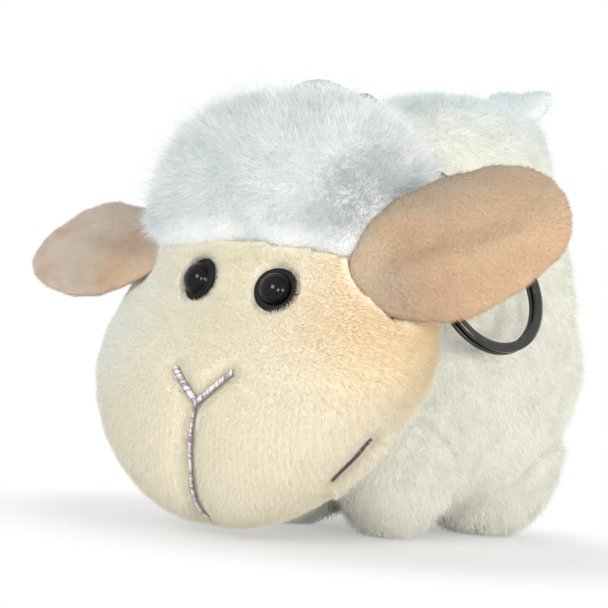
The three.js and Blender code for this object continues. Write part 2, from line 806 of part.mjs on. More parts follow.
const washerTop = EYE_SINK - FACE_WALL - WASHER_CLEARANCE;
const eyes = [
  { name: 'left', pose: eyePose(1, EYE_HEIGHT_LEFT) },
  { name: 'right', pose: eyePose(-1, EYE_HEIGHT_RIGHT) },
];
const washerHole = EYE_SHANK_RADIUS + GAP;
const washerShape = disc(WASHER_RADIUS, washerTop - WASHER_THICKNESS, washerTop, washerHole);
const eyeShape = cut(turned(eyeProfile(), EYE_SEGMENTS));
for (const eye of eyes) {
  const dome = piece(`eye_${eye.name}`, eyeShape, eyeBlack(), headGroup);
  dome.position.copy(eye.pose.seat);
  dome.quaternion.copy(eye.pose.facing);
  const washer = piece(`eye_washer_${eye.name}`, washerShape, washerWhite(), headGroup);
  washer.position.copy(eye.pose.seat);
  washer.quaternion.copy(eye.pose.facing);
}
const flangeSeat = disc(EYE_FLANGE_RADIUS + GAP, -GAP, EYE_FLANGE_HEIGHT + EYE_DOME_HEIGHT);
const shankHole = disc(EYE_SHANK_RADIUS + GAP, -EYE_SHANK_LENGTH - GAP, GAP);
const washerRoom = disc(WASHER_RADIUS + GAP, washerTop - WASHER_THICKNESS - GAP, washerTop + GAP);
const eyeRooms = [flangeSeat, shankHole, washerRoom];
const eyeHoles = eyes.flatMap((eye) => eyeRooms.map((shape) => posed(shape, eye.pose)));

// Embroidery, half sunk in the face, and the grooves that it lies in
function stitchThrough(points, grow) {
  const length = new THREE.CatmullRomCurve3(points).getLength();
  const path = [...points];
  for (const [end, next] of [[0, 1], [points.length - 1, points.length - 2]]) {
    const out = points[end].clone().sub(points[next]).setLength(grow);
    path[end] = points[end].clone().add(out);
  }
  return tubeThrough(path, STITCH_RADIUS + grow, STITCH_SIDES, Math.ceil(length / STITCH_STEP));
}

function between(start, end, count) {
  const places = [];
  for (let i = 0; i <= count; i += 1) {
    const share = i / count;
    places.push([start[0] + (end[0] - start[0]) * share, start[1] + (end[1] - start[1]) * share]);
  }
  return places;
}

function faceStitch(start, end, count) {
  return between(start, end, count).map(([x, z]) => faceAt(headForm, x, z));
}

const noseJunction = [FACE_SHIFT, NOSE_JUNCTION_HEIGHT];
const noseStem = faceStitch(noseJunction, [NOSE_STEM_END_SIDE, -HEAD_HALF_HEIGHT * NOSE_STEM_END_SHARE], 8);
const noseArms = [-1, 1].map((side) => (
  faceStitch([FACE_SHIFT + side * NOSE_ARM_SIDE, NOSE_ARM_HEIGHT], noseJunction, 3)
));
const noseShape = (grow) => join(...[noseStem, ...noseArms].map((points) => stitchThrough(points, grow)));
piece('nose_embroidery', noseShape(0), threadMauve(), headGroup);

// The mouth stitches lie on the cheeks, where the face turns to the side
function mouthPoints(side) {
  const places = between([MOUTH_ANGLE, MOUTH_OUTER_HEIGHT], [MOUTH_ANGLE, MOUTH_INNER_HEIGHT], 4);
  return places.map(([angle, z]) => pointOn(headForm, z / HEAD_HALF_HEIGHT, side * radians(angle)));
}

piece('mouth_stitch_left', cut(stitchThrough(mouthPoints(1), 0)), threadMauve(), headGroup);
piece('mouth_stitch_right', cut(stitchThrough(mouthPoints(-1), 0)), threadMauve(), headGroup);
const grooves = [noseShape(GAP), stitchThrough(mouthPoints(1), GAP), stitchThrough(mouthPoints(-1), GAP)];

// Face cover, wool cap and the filling inside them
function seamBlock(above, offset) {
  const block = new THREE.BoxGeometry(2 * OVERRUN, 4 * OVERRUN, 2 * OVERRUN);
  block.translate(0, 0, above * (OVERRUN + offset));
  block.rotateX(-radians(SEAM_SLOPE));
  block.translate(0, -SEAM_FRONT, SEAM_HEIGHT);
  return block;
}

const headOuter = stuffed(headForm);
const faceCavity = inside(headForm, FACE_WALL);
const woolCavity = inside(headForm, WOOL_WALL);
const headFilling = inside(headForm, WOOL_WALL + GAP);
const fromAbove = seamBlock(1, -GAP * HALF);
const fromBelow = seamBlock(-1, -GAP * HALF);
const headCuts = [bodyInHead, ...eyeHoles, ...earPockets, ...chainRooms];
const faceCover = cut(headOuter, faceCavity, fromAbove, ...grooves, ...headCuts);
piece('face_cover', faceCover, faceCream(), headGroup);
const woolCap = cut(headOuter, woolCavity, fromBelow, ...headCuts);
piece('wool_cap', woolCap, woolWhite(), headGroup);
piece('head_stuffing', cut(headFilling, ...headCuts), fillWhite(), headGroup);

// Hanging loop, which stops just short of the wool where it is sewn in
const cordShape = tubeThrough(cord, CORD_DIAMETER * HALF, CORD_SIDES, CORD_STEPS);
piece('cord_loop', cut(cordShape, stuffed(grown(headForm, GAP))), cordWhite(), headGroup);

// Chain of oval links. A link lies along +X with its wire in the XY plane.
function linkShape(middleAlong) {
  const rings = [];
  for (const end of [1, -1]) {
    for (let step = 0; step < LINK_END_STEPS; step += 1) {
      const turn = Math.PI * (step / (LINK_END_STEPS - 1) - HALF) + (end < 0 ? Math.PI : 0);
      const radial = new THREE.Vector3(Math.cos(turn), Math.sin(turn), 0);
      const middle = radial.clone().multiplyScalar(linkEndRadius);
      middle.x += end * (linkReach - linkEndRadius);
      rings.push(circlePoints(LINK_WIRE * HALF, LINK_WIRE_SIDES).map((point) => (
        middle.clone().addScaledVector(radial, point.x).add(new THREE.Vector3(0, 0, point.y))
      )));
    }
  }
  return skinLoop(rings.reverse()).translate(middleAlong, 0, 0);
}

linkPoses.forEach((pose, i) => {
  const link = piece(`chain_link_${i + 1}`, linkShape(pose.middleAlong), nickel(), headGroup);
  link.position.copy(pose.seat);
  link.quaternion.copy(pose.facing);
});

// Split ring. Its axis is Z, and it hangs by the point at angle 90 degrees.
class SplitRingCurve extends THREE.Curve {
  getPoint(share, target = new THREE.Vector3()) {
    const full = 2 * 360 - RING_STEP_ANGLE - RING_END_ANGLE;
    const angle = share * full;
    const climb = THREE.MathUtils.smoothstep(angle, 360 - RING_STEP_ANGLE, 360 - RING_END_ANGLE);
    const turn = radians(angle + RING_STEP_PLACE);
    const radius = RING_RADIUS - RING_WIRE_WIDTH * HALF;
    const rise = (climb - HALF) * (RING_WIRE_THICKNESS + RING_TURN_GAP);
    return target.set(radius * Math.cos(turn), radius * Math.sin(turn), rise);
  }
}

function flatWireSection() {
  const [halfWidth, halfThickness] = [RING_WIRE_WIDTH * HALF, RING_WIRE_THICKNESS * HALF];
  const corners = [[1, 1], [-1, 1], [-1, -1], [1, -1]];
  const points = corners.flatMap(([along, across], i) => {
    const near = new THREE.Vector2(along * (halfThickness - RING_WIRE_BEVEL), across * halfWidth);
    const far = new THREE.Vector2(along * halfThickness, across * (halfWidth - RING_WIRE_BEVEL));
    return i % 2 === 0 ? [far, near] : [near, far];
  });
  return new THREE.Shape(points);
}

// The least gap that the ring's wire keeps to its own next turn
function leastGapToItself() {
  const curve = new SplitRingCurve();
  const points = curve.getPoints(RING_STEPS * 8);
  const apart = Math.round(points.length / 4);
  let least = Infinity;
  for (let i = 0; i < points.length; i += 1) {
    for (let j = i + apart; j < points.length; j += 1) {
      least = Math.min(least, points[i].distanceTo(points[j]));
    }
  }
  return least - RING_WIRE_THICKNESS;
}

const ringShape = new THREE.ExtrudeGeometry(flatWireSection(), {
  steps: RING_STEPS,
  extrudePath: new SplitRingCurve(),
});
const ring = piece('split_ring', cut(ringShape), nickel(), headGroup);
ring.position.copy(ringPose.seat);
ring.quaternion.copy(ringPose.facing);

console.log('least gap of the split ring to itself', leastGapToItself().toFixed(3));

export default toy;
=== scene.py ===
import math

import bmesh
import bpy
import numpy as np
from mathutils import Matrix, Vector, noise
from mathutils.bvhtree import BVHTree


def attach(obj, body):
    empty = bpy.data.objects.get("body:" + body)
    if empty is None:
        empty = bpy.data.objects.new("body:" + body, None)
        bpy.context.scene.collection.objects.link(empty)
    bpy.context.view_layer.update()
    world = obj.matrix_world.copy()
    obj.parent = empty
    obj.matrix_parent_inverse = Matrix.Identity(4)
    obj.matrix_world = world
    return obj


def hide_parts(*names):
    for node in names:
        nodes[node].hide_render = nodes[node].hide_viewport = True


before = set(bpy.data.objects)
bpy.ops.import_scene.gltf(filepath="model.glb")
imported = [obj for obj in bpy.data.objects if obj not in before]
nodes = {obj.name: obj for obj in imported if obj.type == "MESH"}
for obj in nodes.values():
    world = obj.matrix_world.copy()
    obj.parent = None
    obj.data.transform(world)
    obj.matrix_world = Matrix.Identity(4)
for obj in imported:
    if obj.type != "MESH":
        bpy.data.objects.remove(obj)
scene = bpy.context.scene
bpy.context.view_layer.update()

# Camera. The toy was photographed from close by, from low down in front of its
# left cheek, with the camera tipped a little clockwise.
HEAD_CENTRE = Vector((0, -0.03443, 0.041))
AIM = HEAD_CENTRE + Vector((0.0116, -0.0064, 0.0001))
CAMERA_TURN = math.radians(35.4)
CAMERA_RISE = math.radians(-3.0)
CAMERA_ROLL = math.radians(5.1)
CAMERA_DISTANCE = 0.2718
FOCAL_PIXELS = 1576.4
FRAME_PIXELS = 608

camera_data = bpy.data.cameras.new("camera")
camera_data.lens = camera_data.sensor_width * FOCAL_PIXELS / FRAME_PIXELS
camera = bpy.data.objects.new("camera", camera_data)
scene.collection.objects.link(camera)
towards_camera = Vector((
    math.sin(CAMERA_TURN) * math.cos(CAMERA_RISE),
    -math.cos(CAMERA_TURN) * math.cos(CAMERA_RISE),
    math.sin(CAMERA_RISE),
))
level = towards_camera.to_track_quat("Z", "Y").to_matrix().to_4x4()
stand = Matrix.Translation(AIM + towards_camera * CAMERA_DISTANCE)
camera.matrix_world = stand @ level @ Matrix.Rotation(CAMERA_ROLL, 4, "Z")
scene.camera = camera

# Hanging loop. A round braided white cotton cord, sewn into the crown at both ends
# and bent over to one side, where the first link of the chain hangs on it.
CROWN = HEAD_CENTRE + Vector((0, 0, 0.039))
CORD_DIAMETER = 0.0022
CORD_SIDES = 24
CORD_PICK = 0.0019
CORD_STRANDS = 4
CORD_RELIEF = 0.16
CORD_STATION = 0.00016
# As in the part's source, from the crown, with the bend held a little higher
CORD_ROUTE = [
    (-0.0142, 0.0108, -0.0032),
    (-0.0122, 0.0104, -0.0014),
    (-0.0096, 0.0100, 0.0002),
    (-0.0060, 0.0097, 0.0022),
    (-0.0024, 0.0095, 0.0031),
    (0.0012, 0.0096, 0.0029),
    (0.0040, 0.0107, 0.0018),
    (0.0055, 0.0129, 0.0008),
    (0.0054, 0.0156, 0.0003),
    (0.0039, 0.0178, -0.0001),
    (0.0012, 0.0187, -0.0006),
    (-0.0018, 0.0186, -0.0015),
    (-0.0048, 0.0180, -0.0028),
    (-0.0074, 0.0172, -0.0044),
    (-0.0094, 0.0164, -0.0062),
]


def smooth_line(points, station):
    """Points at an even distance along a smooth curve through the given points."""
    ends = [2 * points[0] - points[1], *points, 2 * points[-1] - points[-2]]
    dense = []
    for a, b, c, d in zip(ends, ends[1:], ends[2:], ends[3:]):
        for i in range(24):
            t = i / 24
            dense.append(0.5 * (
                2 * b + (c - a) * t + (2 * a - 5 * b + 4 * c - d) * t**2 + (3 * b - a - 3 * c + d) * t**3
            ))
    dense.append(points[-1])
    total = sum((b - a).length for a, b in zip(dense, dense[1:]))
    count = max(2, round(total / station))
    line, gone, at = [dense[0]], 0.0, 1
    for i in range(1, count):
        goal = total * i / count
        while gone + (dense[at] - dense[at - 1]).length < goal:
            gone += (dense[at] - dense[at - 1]).length
            at += 1
        span = (dense[at] - dense[at - 1]).length
        line.append(dense[at - 1].lerp(dense[at], (goal - gone) / span))
    return [*line, dense[-1]]


def draw_along(bm, line, outline, over, closed=False):
    """Draws an outline along a line, with the outline's second direction kept near over.
    outline(i) gives the points of the section at station i."""
    rings = []
    for i, place in enumerate(line):
        before = line[i - 1] if i or closed else place
        after = line[(i + 1) % len(line)] if closed or i + 1 < len(line) else place
        ahead = (after - before).normalized()
        side = over.cross(ahead).normalized()
        over = ahead.cross(side)
        verts = [bm.verts.new(place + side * x + over * y) for x, y in outline(i)]
        rings.append([bm.edges.new(pair) for pair in zip(verts, verts[1:] + verts[:1])])
    pairs = list(zip(rings, rings[1:] + rings[:1] if closed else rings[1:]))
    for near, far in pairs:
        bmesh.ops.bridge_loops(bm, edges=near + far)
    if not closed:
        for ring in (rings[0], rings[-1]):
            bmesh.ops.holes_fill(bm, edges=ring, sides=0)
    bmesh.ops.recalc_face_normals(bm, faces=bm.faces)


def settle(bm, name, finish, smooth=True):
    """Turns a bmesh into a piece of the toy with its finish."""
    mesh = bpy.data.meshes.new(name)
    bm.to_mesh(mesh)
    bm.free()
    for polygon in mesh.polygons:
        polygon.use_smooth = smooth
    mesh.materials.append(finish)
    made = bpy.data.objects.new(name, mesh)
    scene.collection.objects.link(made)
    return made


def dye(code):
    """A colour written as it looks, in the numbers that a shader takes."""
    parts = [int(code[i:i + 2], 16) / 255 for i in (0, 2, 4)]
    return [((c + 0.055) / 1.055) ** 2.4 if c > 0.04 else c / 12.92 for c in parts] + [1.0]


def step(tree, kind, inputs=None, **settings):
    """Adds a node to a tree. Another node's output is linked, and any other value is set."""
    made = tree.nodes.new(kind)
    for key, value in settings.items():
        setattr(made, key, value)
    for key, value in (inputs or {}).items():
        if isinstance(value, bpy.types.NodeSocket):
            tree.links.new(value, made.inputs[key])
        else:
            made.inputs[key].default_value = value
    return made


def new_finish(name, **values):
    """A material with its shader's constant values, its tree and its shader."""
    made = bpy.data.materials.new(name)
    made.use_nodes = True
    shader = made.node_tree.nodes["Principled BSDF"]
    for key, value in values.items():
        shader.inputs[key.replace("_", " ")].default_value = value
    return made, made.node_tree, shader


def object_place(tree):
    """Where a point lies on the toy, for patterns that keep their real size."""
    return step(tree, "ShaderNodeTexCoord").outputs["Object"]


def mottle(tree, size, detail=3.0, roughness=0.55, place=None):
    """Soft blotches about this size, from 0 to 1."""
    made = step(tree, "ShaderNodeTexNoise", {
        "Vector": place or object_place(tree), "Scale": 1 / size, "Detail": detail, "Roughness": roughness,
    })
    return made.outputs["Fac"]


def ranged(tree, value, low, high, out_low=0.0, out_high=1.0):
    """A value carried from one range to another, with a smooth change between."""
    made = step(tree, "ShaderNodeMapRange", {
        "Value": value, "From Min": low, "From Max": high, "To Min": out_low, "To Max": out_high,
    }, interpolation_type="SMOOTHSTEP")
    return made.outputs["Result"]


def mixed(tree, share, first, second, mode="MIX"):
    """The first colour with this share of the second."""
    made = step(tree, "ShaderNodeMix", {0: share, 6: first, 7: second}, data_type="RGBA", blend_type=mode)
    return made.outputs[2]


def raised(tree, shader, height, depth):
    """Lifts the surface by a height pattern."""
    bump = step(tree, "ShaderNodeBump", {"Height": height, "Distance": depth})
    tree.links.new(bump.outputs["Normal"], shader.inputs["Normal"])


cord_cotton, tree, shader = new_finish("cord_cotton", Roughness=0.8, Sheen_Weight=0.2)
fibre = mottle(tree, 0.00035, 4)
# Painted shade: the fibre blotches run from grey-blue to white on the white cord.
tree.links.new(mixed(tree, fibre, dye("a3aeb8"), dye("e4e8ea")), shader.inputs["Base Color"])
raised(tree, shader, fibre, 0.00008)

cord_line = smooth_line([CROWN + Vector(point) for point in CORD_ROUTE], CORD_STATION)


def braided(i):
    """A section of the cord, a little fuller where a strand passes over the others."""
    points = []
    for k in range(CORD_SIDES):
        turn = 2 * math.pi * k / CORD_SIDES
        wind = 2 * math.pi * i * CORD_STATION / CORD_PICK
        left = math.cos(CORD_STRANDS * turn + wind)
        right = math.cos(CORD_STRANDS * turn - wind)
        radius = CORD_DIAMETER / 2 * (1 - CORD_RELIEF + CORD_RELIEF * max(left, right))
        points.append((radius * math.cos(turn), radius * math.sin(turn)))
    return points


bm = bmesh.new()
draw_along(bm, cord_line, braided, Vector((0, 0, 1)))
cord = settle(bm, "hanging_cord", cord_cotton)
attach(cord, "sheep")
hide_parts("cord_loop")

# Filling. Loose white polyester fibre inside the head, the body and the legs, packed in
# through a slit that is closed last. It never shows.
FIBRE_SIZE = 0.0012
filling, tree, shader = new_finish("filling", Roughness=0.95)
fibre = mottle(tree, FIBRE_SIZE, 6)
tree.links.new(mixed(tree, fibre, dye("dcdcd8"), dye("f6f6f4")), shader.inputs["Base Color"])
raised(tree, shader, fibre, 0.0004)
for name, solid in nodes.items():
    if name.endswith("_stuffing"):
        solid.data.materials.clear()
        solid.data.materials.append(filling)

# Body. Short white knitted-back plush, sewn into a tall round bag and stuffed firm. Its pile
# lies down and back, and parts into soft clumps.
HIDE_VOXEL = 0.0009
BODY_NAP = 0.0011
BODY_NAP_WIDTH = 0.00014
BODY_NAP_PER_MM2 = 10
BODY_PILE = 0.0021
BODY_PILE_WIDTH = 0.0001
BODY_PER_MM2 = 3.4
BODY_CLUMP = 0.0036
BODY_SWELL = 0.0013
BODY_SWELL_SIZE = 0.013
CREASE_REACH = 0.005
CREASE_FILL = 0.0016
# Where painted sky light turns the body's pile bluer towards its top
SKY_LIGHT_FROM = 0.072
SKY_LIGHT_TO = 0.094


def stuffed_form(name, sources, voxel, rounds):
    """The outside of a stuffed piece. The CAD solids are merged, remeshed evenly and smoothed."""
    bm = bmesh.new()
    for source in sources:
        bm.from_mesh(nodes[source].data)
    bmesh.ops.remove_doubles(bm, verts=bm.verts, dist=1e-6)
    mesh = bpy.data.meshes.new(name)
    bm.to_mesh(mesh)
    bm.free()
    rough = bpy.data.objects.new(name, mesh)
    scene.collection.objects.link(rough)
    even = rough.modifiers.new("even", "REMESH")
    even.mode = "VOXEL"
    even.voxel_size = voxel
    seen = bpy.context.evaluated_depsgraph_get()
    bm = bmesh.new()
    bm.from_mesh(rough.evaluated_get(seen).to_mesh())
    bpy.data.objects.remove(rough)
    keep_outside(bm)
    for _ in range(rounds):
        bmesh.ops.smooth_vert(
            bm, verts=bm.verts, factor=0.5, use_axis_x=True, use_axis_y=True, use_axis_z=True,
        )
    bm.normal_update()
    return bm


def keep_outside(bm):
    """Deletes the shells inside a remeshed form, and keeps its largest one."""
    shells, left = [], set(bm.verts)
    while left:
        shell, edge = set(), [left.pop()]
        while edge:
            vert = edge.pop()
            shell.add(vert)
            for link in vert.link_edges:
                other = link.other_vert(vert)
                if other in left:
                    left.remove(other)
                    edge.append(other)
        shells.append(shell)
    shells.sort(key=len)
    for shell in shells[:-1]:
        bmesh.ops.delete(bm, geom=list(shell), context="VERTS")


def groom(piece, groomed):
    """Writes how dense and long the pile is and which way it lies. groomed(place, normal) gives
    the density and the length as shares, and the lie as a vector."""
    mesh = piece.data
    dense = mesh.attributes.new("pile", "FLOAT", "POINT")
    long = mesh.attributes.new("reach", "FLOAT", "POINT")
    lie = mesh.attributes.new("lie", "FLOAT_VECTOR", "POINT")
    for i, vert in enumerate(mesh.vertices):
        share, reach, comb = groomed(vert.co, vert.normal)
        dense.data[i].value = share
        long.data[i].value = reach
        lie.data[i].vector = comb - vert.normal * comb.dot(vert.normal)


def strand(name, length, width, bend, joints):
    """One tuft of fibre as a flat blade that bends and narrows to a point."""
    bm = bmesh.new()
    bm.loops.layers.uv.new("along")
    bmesh.ops.create_grid(bm, x_segments=1, y_segments=joints, size=0.5, calc_uvs=True)
    for vert in bm.verts:
        share = vert.co.y + 0.5
        narrow = (1 - share) ** 0.6
        vert.co = (bend * length * share**2, vert.co.x * width * narrow, length * share)
    bmesh.ops.remove_doubles(bm, verts=bm.verts, dist=1e-7)
    mesh = bpy.data.meshes.new(name)
    bm.to_mesh(mesh)
    bm.free()
    for polygon in mesh.polygons:
        polygon.use_smooth = True
    made = bpy.data.objects.new(name, mesh)
    scene.collection.objects.link(made)
    made.hide_render = True
    return made


def grow(name, piece, blade, per_mm2, finish, seed, scatter=0.35, clump=0.5, clump_size=0.004, turn=1.2):
    """Grows pile on a piece: blades on random points, leaning as groomed, in clumps."""
    tree = bpy.data.node_groups.new(name, "GeometryNodeTree")
    tree.interface.new_socket("Geometry", in_out="INPUT", socket_type="NodeSocketGeometry")
    tree.interface.new_socket("Geometry", in_out="OUTPUT", socket_type="NodeSocketGeometry")
    start = step(tree, "NodeGroupInput").outputs[0]

    def written(name, kind="FLOAT"):
        return step(tree, "GeometryNodeInputNamedAttribute", {"Name": name}, data_type=kind).outputs[0]

    def maths(operation, a, b):
        return step(tree, "ShaderNodeMath", {0: a, 1: b}, operation=operation).outputs[0]

    def vectors(operation, a, b):
        return step(tree, "ShaderNodeVectorMath", {0: a, 1: b}, operation=operation).outputs[0]

    density = maths("MULTIPLY", written("pile"), per_mm2 * 1e6)
    points = step(tree, "GeometryNodeDistributePointsOnFaces", {
        "Mesh": start, "Density": density, "Seed": seed,
    })
    spread = step(tree, "FunctionNodeRandomValue", {
        0: (-scatter,) * 3, 1: (scatter,) * 3, "Seed": seed + 1,
    }, data_type="FLOAT_VECTOR").outputs[0]
    position = step(tree, "GeometryNodeInputPosition").outputs[0]
    swirl = step(tree, "ShaderNodeTexNoise", {
        "Vector": position, "Scale": 1 / clump_size, "Detail": 1.5,
    }).outputs["Color"]
    swirl = vectors("SUBTRACT", swirl, (0.5,) * 3)
    swirl = step(tree, "ShaderNodeVectorMath", {0: swirl, "Scale": 2 * clump}, operation="SCALE").outputs[0]
    lie = vectors("ADD", written("lie", "FLOAT_VECTOR"), swirl)
    way = vectors("ADD", vectors("ADD", points.outputs["Normal"], lie), spread)
    upright = step(tree, "FunctionNodeAlignRotationToVector", {"Vector": way}, axis="Z").outputs[0]
    combed = step(tree, "FunctionNodeAlignRotationToVector", {
        "Rotation": upright, "Vector": lie,
    }, axis="X", pivot_axis="Z").outputs[0]
    twist = step(tree, "FunctionNodeRandomValue", {2: -turn, 3: turn, "Seed": seed + 2}).outputs[1]
    twist = step(tree, "FunctionNodeAxisAngleToRotation", {"Axis": (0, 0, 1), "Angle": twist}).outputs[0]
    facing = step(tree, "FunctionNodeRotateRotation", {
        "Rotation": combed, "Rotate By": twist,
    }, rotation_space="LOCAL").outputs[0]
    size = step(tree, "FunctionNodeRandomValue", {2: 0.7, 3: 1.15, "Seed": seed + 3}).outputs[1]
    size = maths("MULTIPLY", size, written("reach"))
    shape = step(tree, "GeometryNodeObjectInfo", {"Object": blade}).outputs["Geometry"]
    grown = step(tree, "GeometryNodeInstanceOnPoints", {
        "Points": points.outputs["Points"], "Instance": shape, "Rotation": facing, "Scale": size,
    }).outputs[0]
    tint = step(tree, "FunctionNodeRandomValue", {2: 0.0, 3: 1.0, "Seed": seed + 4}).outputs[1]
    grown = step(tree, "GeometryNodeStoreNamedAttribute", {
        "Geometry": grown, "Name": "tint", "Value": tint,
    }, domain="INSTANCE", data_type="FLOAT").outputs[0]
    real = step(tree, "GeometryNodeRealizeInstances", {"Geometry": grown}).outputs[0]
    step(tree, "NodeGroupOutput", {0: real})

    rooted = bpy.data.objects.new(name, piece.data)
    scene.collection.objects.link(rooted)
    growth = rooted.modifiers.new("growth", "NODES")
    growth.node_group = tree
    seen = bpy.context.evaluated_depsgraph_get()
    mesh = bpy.data.meshes.new_from_object(rooted.evaluated_get(seen))
    bpy.data.objects.remove(rooted)
    mesh.materials.clear()
    mesh.materials.append(finish)
    mesh.name = name
    for vert in mesh.vertices:
        vert.co.z = max(vert.co.z, SOLE_CLEARANCE)
    made = bpy.data.objects.new(name, mesh)
    scene.collection.objects.link(made)
    return made


def pile_finish(name, root, tip, patch, patch_size, sheen=0.3):
    """Plush fibre: darker at its root, with soft patches and a little difference from tuft to tuft."""
    made, tree, shader = new_finish(name, Roughness=0.75, Sheen_Weight=sheen, Sheen_Roughness=0.4)
    along = step(tree, "ShaderNodeUVMap", uv_map="along").outputs[0]
    along = step(tree, "ShaderNodeSeparateXYZ", {0: along}).outputs["Y"]
    colour = mixed(tree, ranged(tree, along, 0.0, 0.8), dye(root), dye(tip))
    patches = ranged(tree, mottle(tree, patch_size, 2), 0.35, 0.75, 0.0, 0.6)
    colour = mixed(tree, patches, colour, dye(patch))
    tint = step(tree, "ShaderNodeAttribute", attribute_name="tint").outputs["Fac"]
    shade = step(tree, "ShaderNodeMapRange", {"Value": tint, "To Min": 0.94, "To Max": 1.02}).outputs[0]
    shade = step(tree, "ShaderNodeCombineColor", {0: shade, 1: shade, 2: shade}).outputs[0]
    colour = mixed(tree, 1.0, colour, shade, "MULTIPLY")
    return made, tree, shader, colour


def hide_finish(name, low, high, nap):
    """The knitted backing between the tufts."""
    made, tree, shader = new_finish(name, Roughness=0.9, Sheen_Weight=0.3)
    tufts = mottle(tree, nap, 4)
    colour = mixed(tree, ranged(tree, tufts, 0.3, 0.7), dye(low), dye(high))
    tree.links.new(colour, shader.inputs["Base Color"])
    raised(tree, shader, tufts, nap * 0.5)
    return made


def painted_light_along(tree, colour, axis, code, start, end, most):
    """Paints light or shade along an axis: not at all up to start, and by this share from end."""
    level = step(tree, "ShaderNodeSeparateXYZ", {0: object_place(tree)}).outputs[axis]
    return mixed(tree, ranged(tree, level, start, end, 0.0, most), colour, dye(code))


SOLE_CLEARANCE = 0.0001
DOWN = Vector((0, 0, -1))
BACK = Vector((0, 1, 0))

white_hide = hide_finish("white_hide", "f6f6f0", "fefdf8", 0.0012)
white_pile, tree, shader, colour = pile_finish("white_pile", "f6f6ef", "fefdf6", "e9e9df", 0.006)
# Painted sky light: the pile is bluer towards the top of the body.
colour = painted_light_along(tree, colour, "Z", "dfebf2", SKY_LIGHT_FROM, SKY_LIGHT_TO, 0.8)
tree.links.new(colour, shader.inputs["Base Color"])
nap_blade = strand("nap_blade", BODY_NAP, BODY_NAP_WIDTH, 0.4, 1)
body_blade = strand("body_blade", BODY_PILE, BODY_PILE_WIDTH, 0.6, 2)


def swollen(bm, size, height, seed):
    """Lets the filling push the cloth out unevenly."""
    for vert in bm.verts:
        push = noise.noise(vert.co / size + Vector((seed, 0, 0)))
        fine = noise.noise(vert.co / size * 2.3 + Vector((0, seed, 0)))
        vert.co += vert.normal * height * (push + 0.4 * fine)
    bm.normal_update()


def tree_of(names):
    """A search tree over CAD solids, and the number of faces of the first."""
    bm = bmesh.new()
    first = 0
    for name in names:
        bm.from_mesh(nodes[name].data)
        first = first or len(bm.faces)
    found = BVHTree.FromBMesh(bm)
    bm.free()
    return found, first


def away(found, place):
    """The distance from a place to the nearest of some solids."""
    return found.find_nearest(place)[3]


def share_of(value, low, high):
    """0 at low and 1 at high, with a smooth change between."""
    t = min(1.0, max(0.0, (value - low) / (high - low)))
    return t * t * (3 - 2 * t)


def filled(bm, others, reach, height):
    """Fills the crease beside other solids, where the hand stitches draw the two cloths together."""
    for vert in bm.verts:
        vert.co += vert.normal * height * share_of(away(others, vert.co), reach, 0)
    bm.normal_update()


def body_groomed(place, normal):
    """Full pile everywhere, brushed down and back."""
    return 1.0, 1.0, (DOWN * 0.7 + BACK * 0.3) * 0.9


LEGS = ["leg_front_left", "leg_front_right", "leg_rear_left", "leg_rear_right"]
leg_tree, _ = tree_of([leg + "_cover" for leg in LEGS])
body_tree, _ = tree_of(["body_cover"])
bm = stuffed_form("body_hide", ["body_cover", "body_stuffing"], HIDE_VOXEL, 5)
swollen(bm, BODY_SWELL_SIZE, BODY_SWELL, 3.0)
filled(bm, leg_tree, CREASE_REACH, CREASE_FILL)
body_hide = settle(bm, "body_hide", white_hide)
groom(body_hide, body_groomed)
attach(body_hide, "sheep")
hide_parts("body_cover")
body_nap = grow("body_nap", body_hide, nap_blade, BODY_NAP_PER_MM2, white_pile, 5, clump_size=BODY_CLUMP)
body_pile = grow(
    "body_pile", body_hide, body_blade, BODY_PER_MM2, white_pile, 11,
    scatter=0.5, clump=1.0, clump_size=BODY_CLUMP,
)
for piece in (body_nap, body_pile):
    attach(piece, "sheep")

# Legs. Four stuffed stubs of the body's plush, ladder-stitched to it and pressed
# flat where the toy stands.
SOLE_RISE = 0.0012
LEG_SWELL = 0.0003
LEG_SWELL_SIZE = 0.008


def leg_groomed(place, normal):
    """Shorter pile at the sole, where the toy's weight presses it."""
    standing = min(1.0, max(0.0, place.z / SOLE_RISE))
    return 1.0, 0.25 + 0.75 * standing, DOWN * 0.5


for number, leg in enumerate(LEGS):
    bm = stuffed_form(leg, [leg + "_cover", leg + "_stuffing"], HIDE_VOXEL, 3)
    swollen(bm, LEG_SWELL_SIZE, LEG_SWELL, 5.0 + number)
    filled(bm, body_tree, CREASE_REACH, CREASE_FILL)
    for vert in bm.verts:
        vert.co.z = max(vert.co.z, SOLE_CLEARANCE)
    leg_hide = settle(bm, leg, white_hide)
    groom(leg_hide, leg_groomed)
    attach(leg_hide, "sheep")
    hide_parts(leg + "_cover")
    leg_nap = grow(leg + "_nap", leg_hide, nap_blade, BODY_NAP_PER_MM2, white_pile, 25 + 7 * number)
    leg_pile = grow(leg + "_pile", leg_hide, body_blade, BODY_PER_MM2, white_pile, 31 + 7 * number)
    for piece in (leg_nap, leg_pile):
        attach(piece, "sheep")

# Tail. A short flat tab of the body's plush with a square end, hardly filled, and sewn in
# at the top of the rump.
TAIL_VOXEL = 0.0006
TAIL_CORNER = 70


def solid_frame(name):
    """The middle of a CAD solid, and its longest, middle and shortest directions."""
    places = [vert.co for vert in nodes[name].data.vertices]
    middle = sum(places, Vector()) / len(places)
    spread = [
        [sum((place - middle)[i] * (place - middle)[j] for place in places) for j in range(3)]
        for i in range(3)
    ]
    _, ways = np.linalg.eigh(np.array(spread))
    return middle, [Vector(ways[:, i]) for i in (2, 1, 0)]


bm = stuffed_form("tail_hide", ["tail"], TAIL_VOXEL, 2)
middle, ways = solid_frame("tail")
tipward = ways[0] if ways[0].z > 0 else -ways[0]
for vert in bm.verts:
    across = (vert.co - middle).dot(ways[1])
    corner = TAIL_CORNER * max(0, (vert.co - middle).dot(tipward)) * across
    vert.co += ways[1] * corner + tipward * abs(corner)
tail_hide = settle(bm, "tail_hide", white_hide)


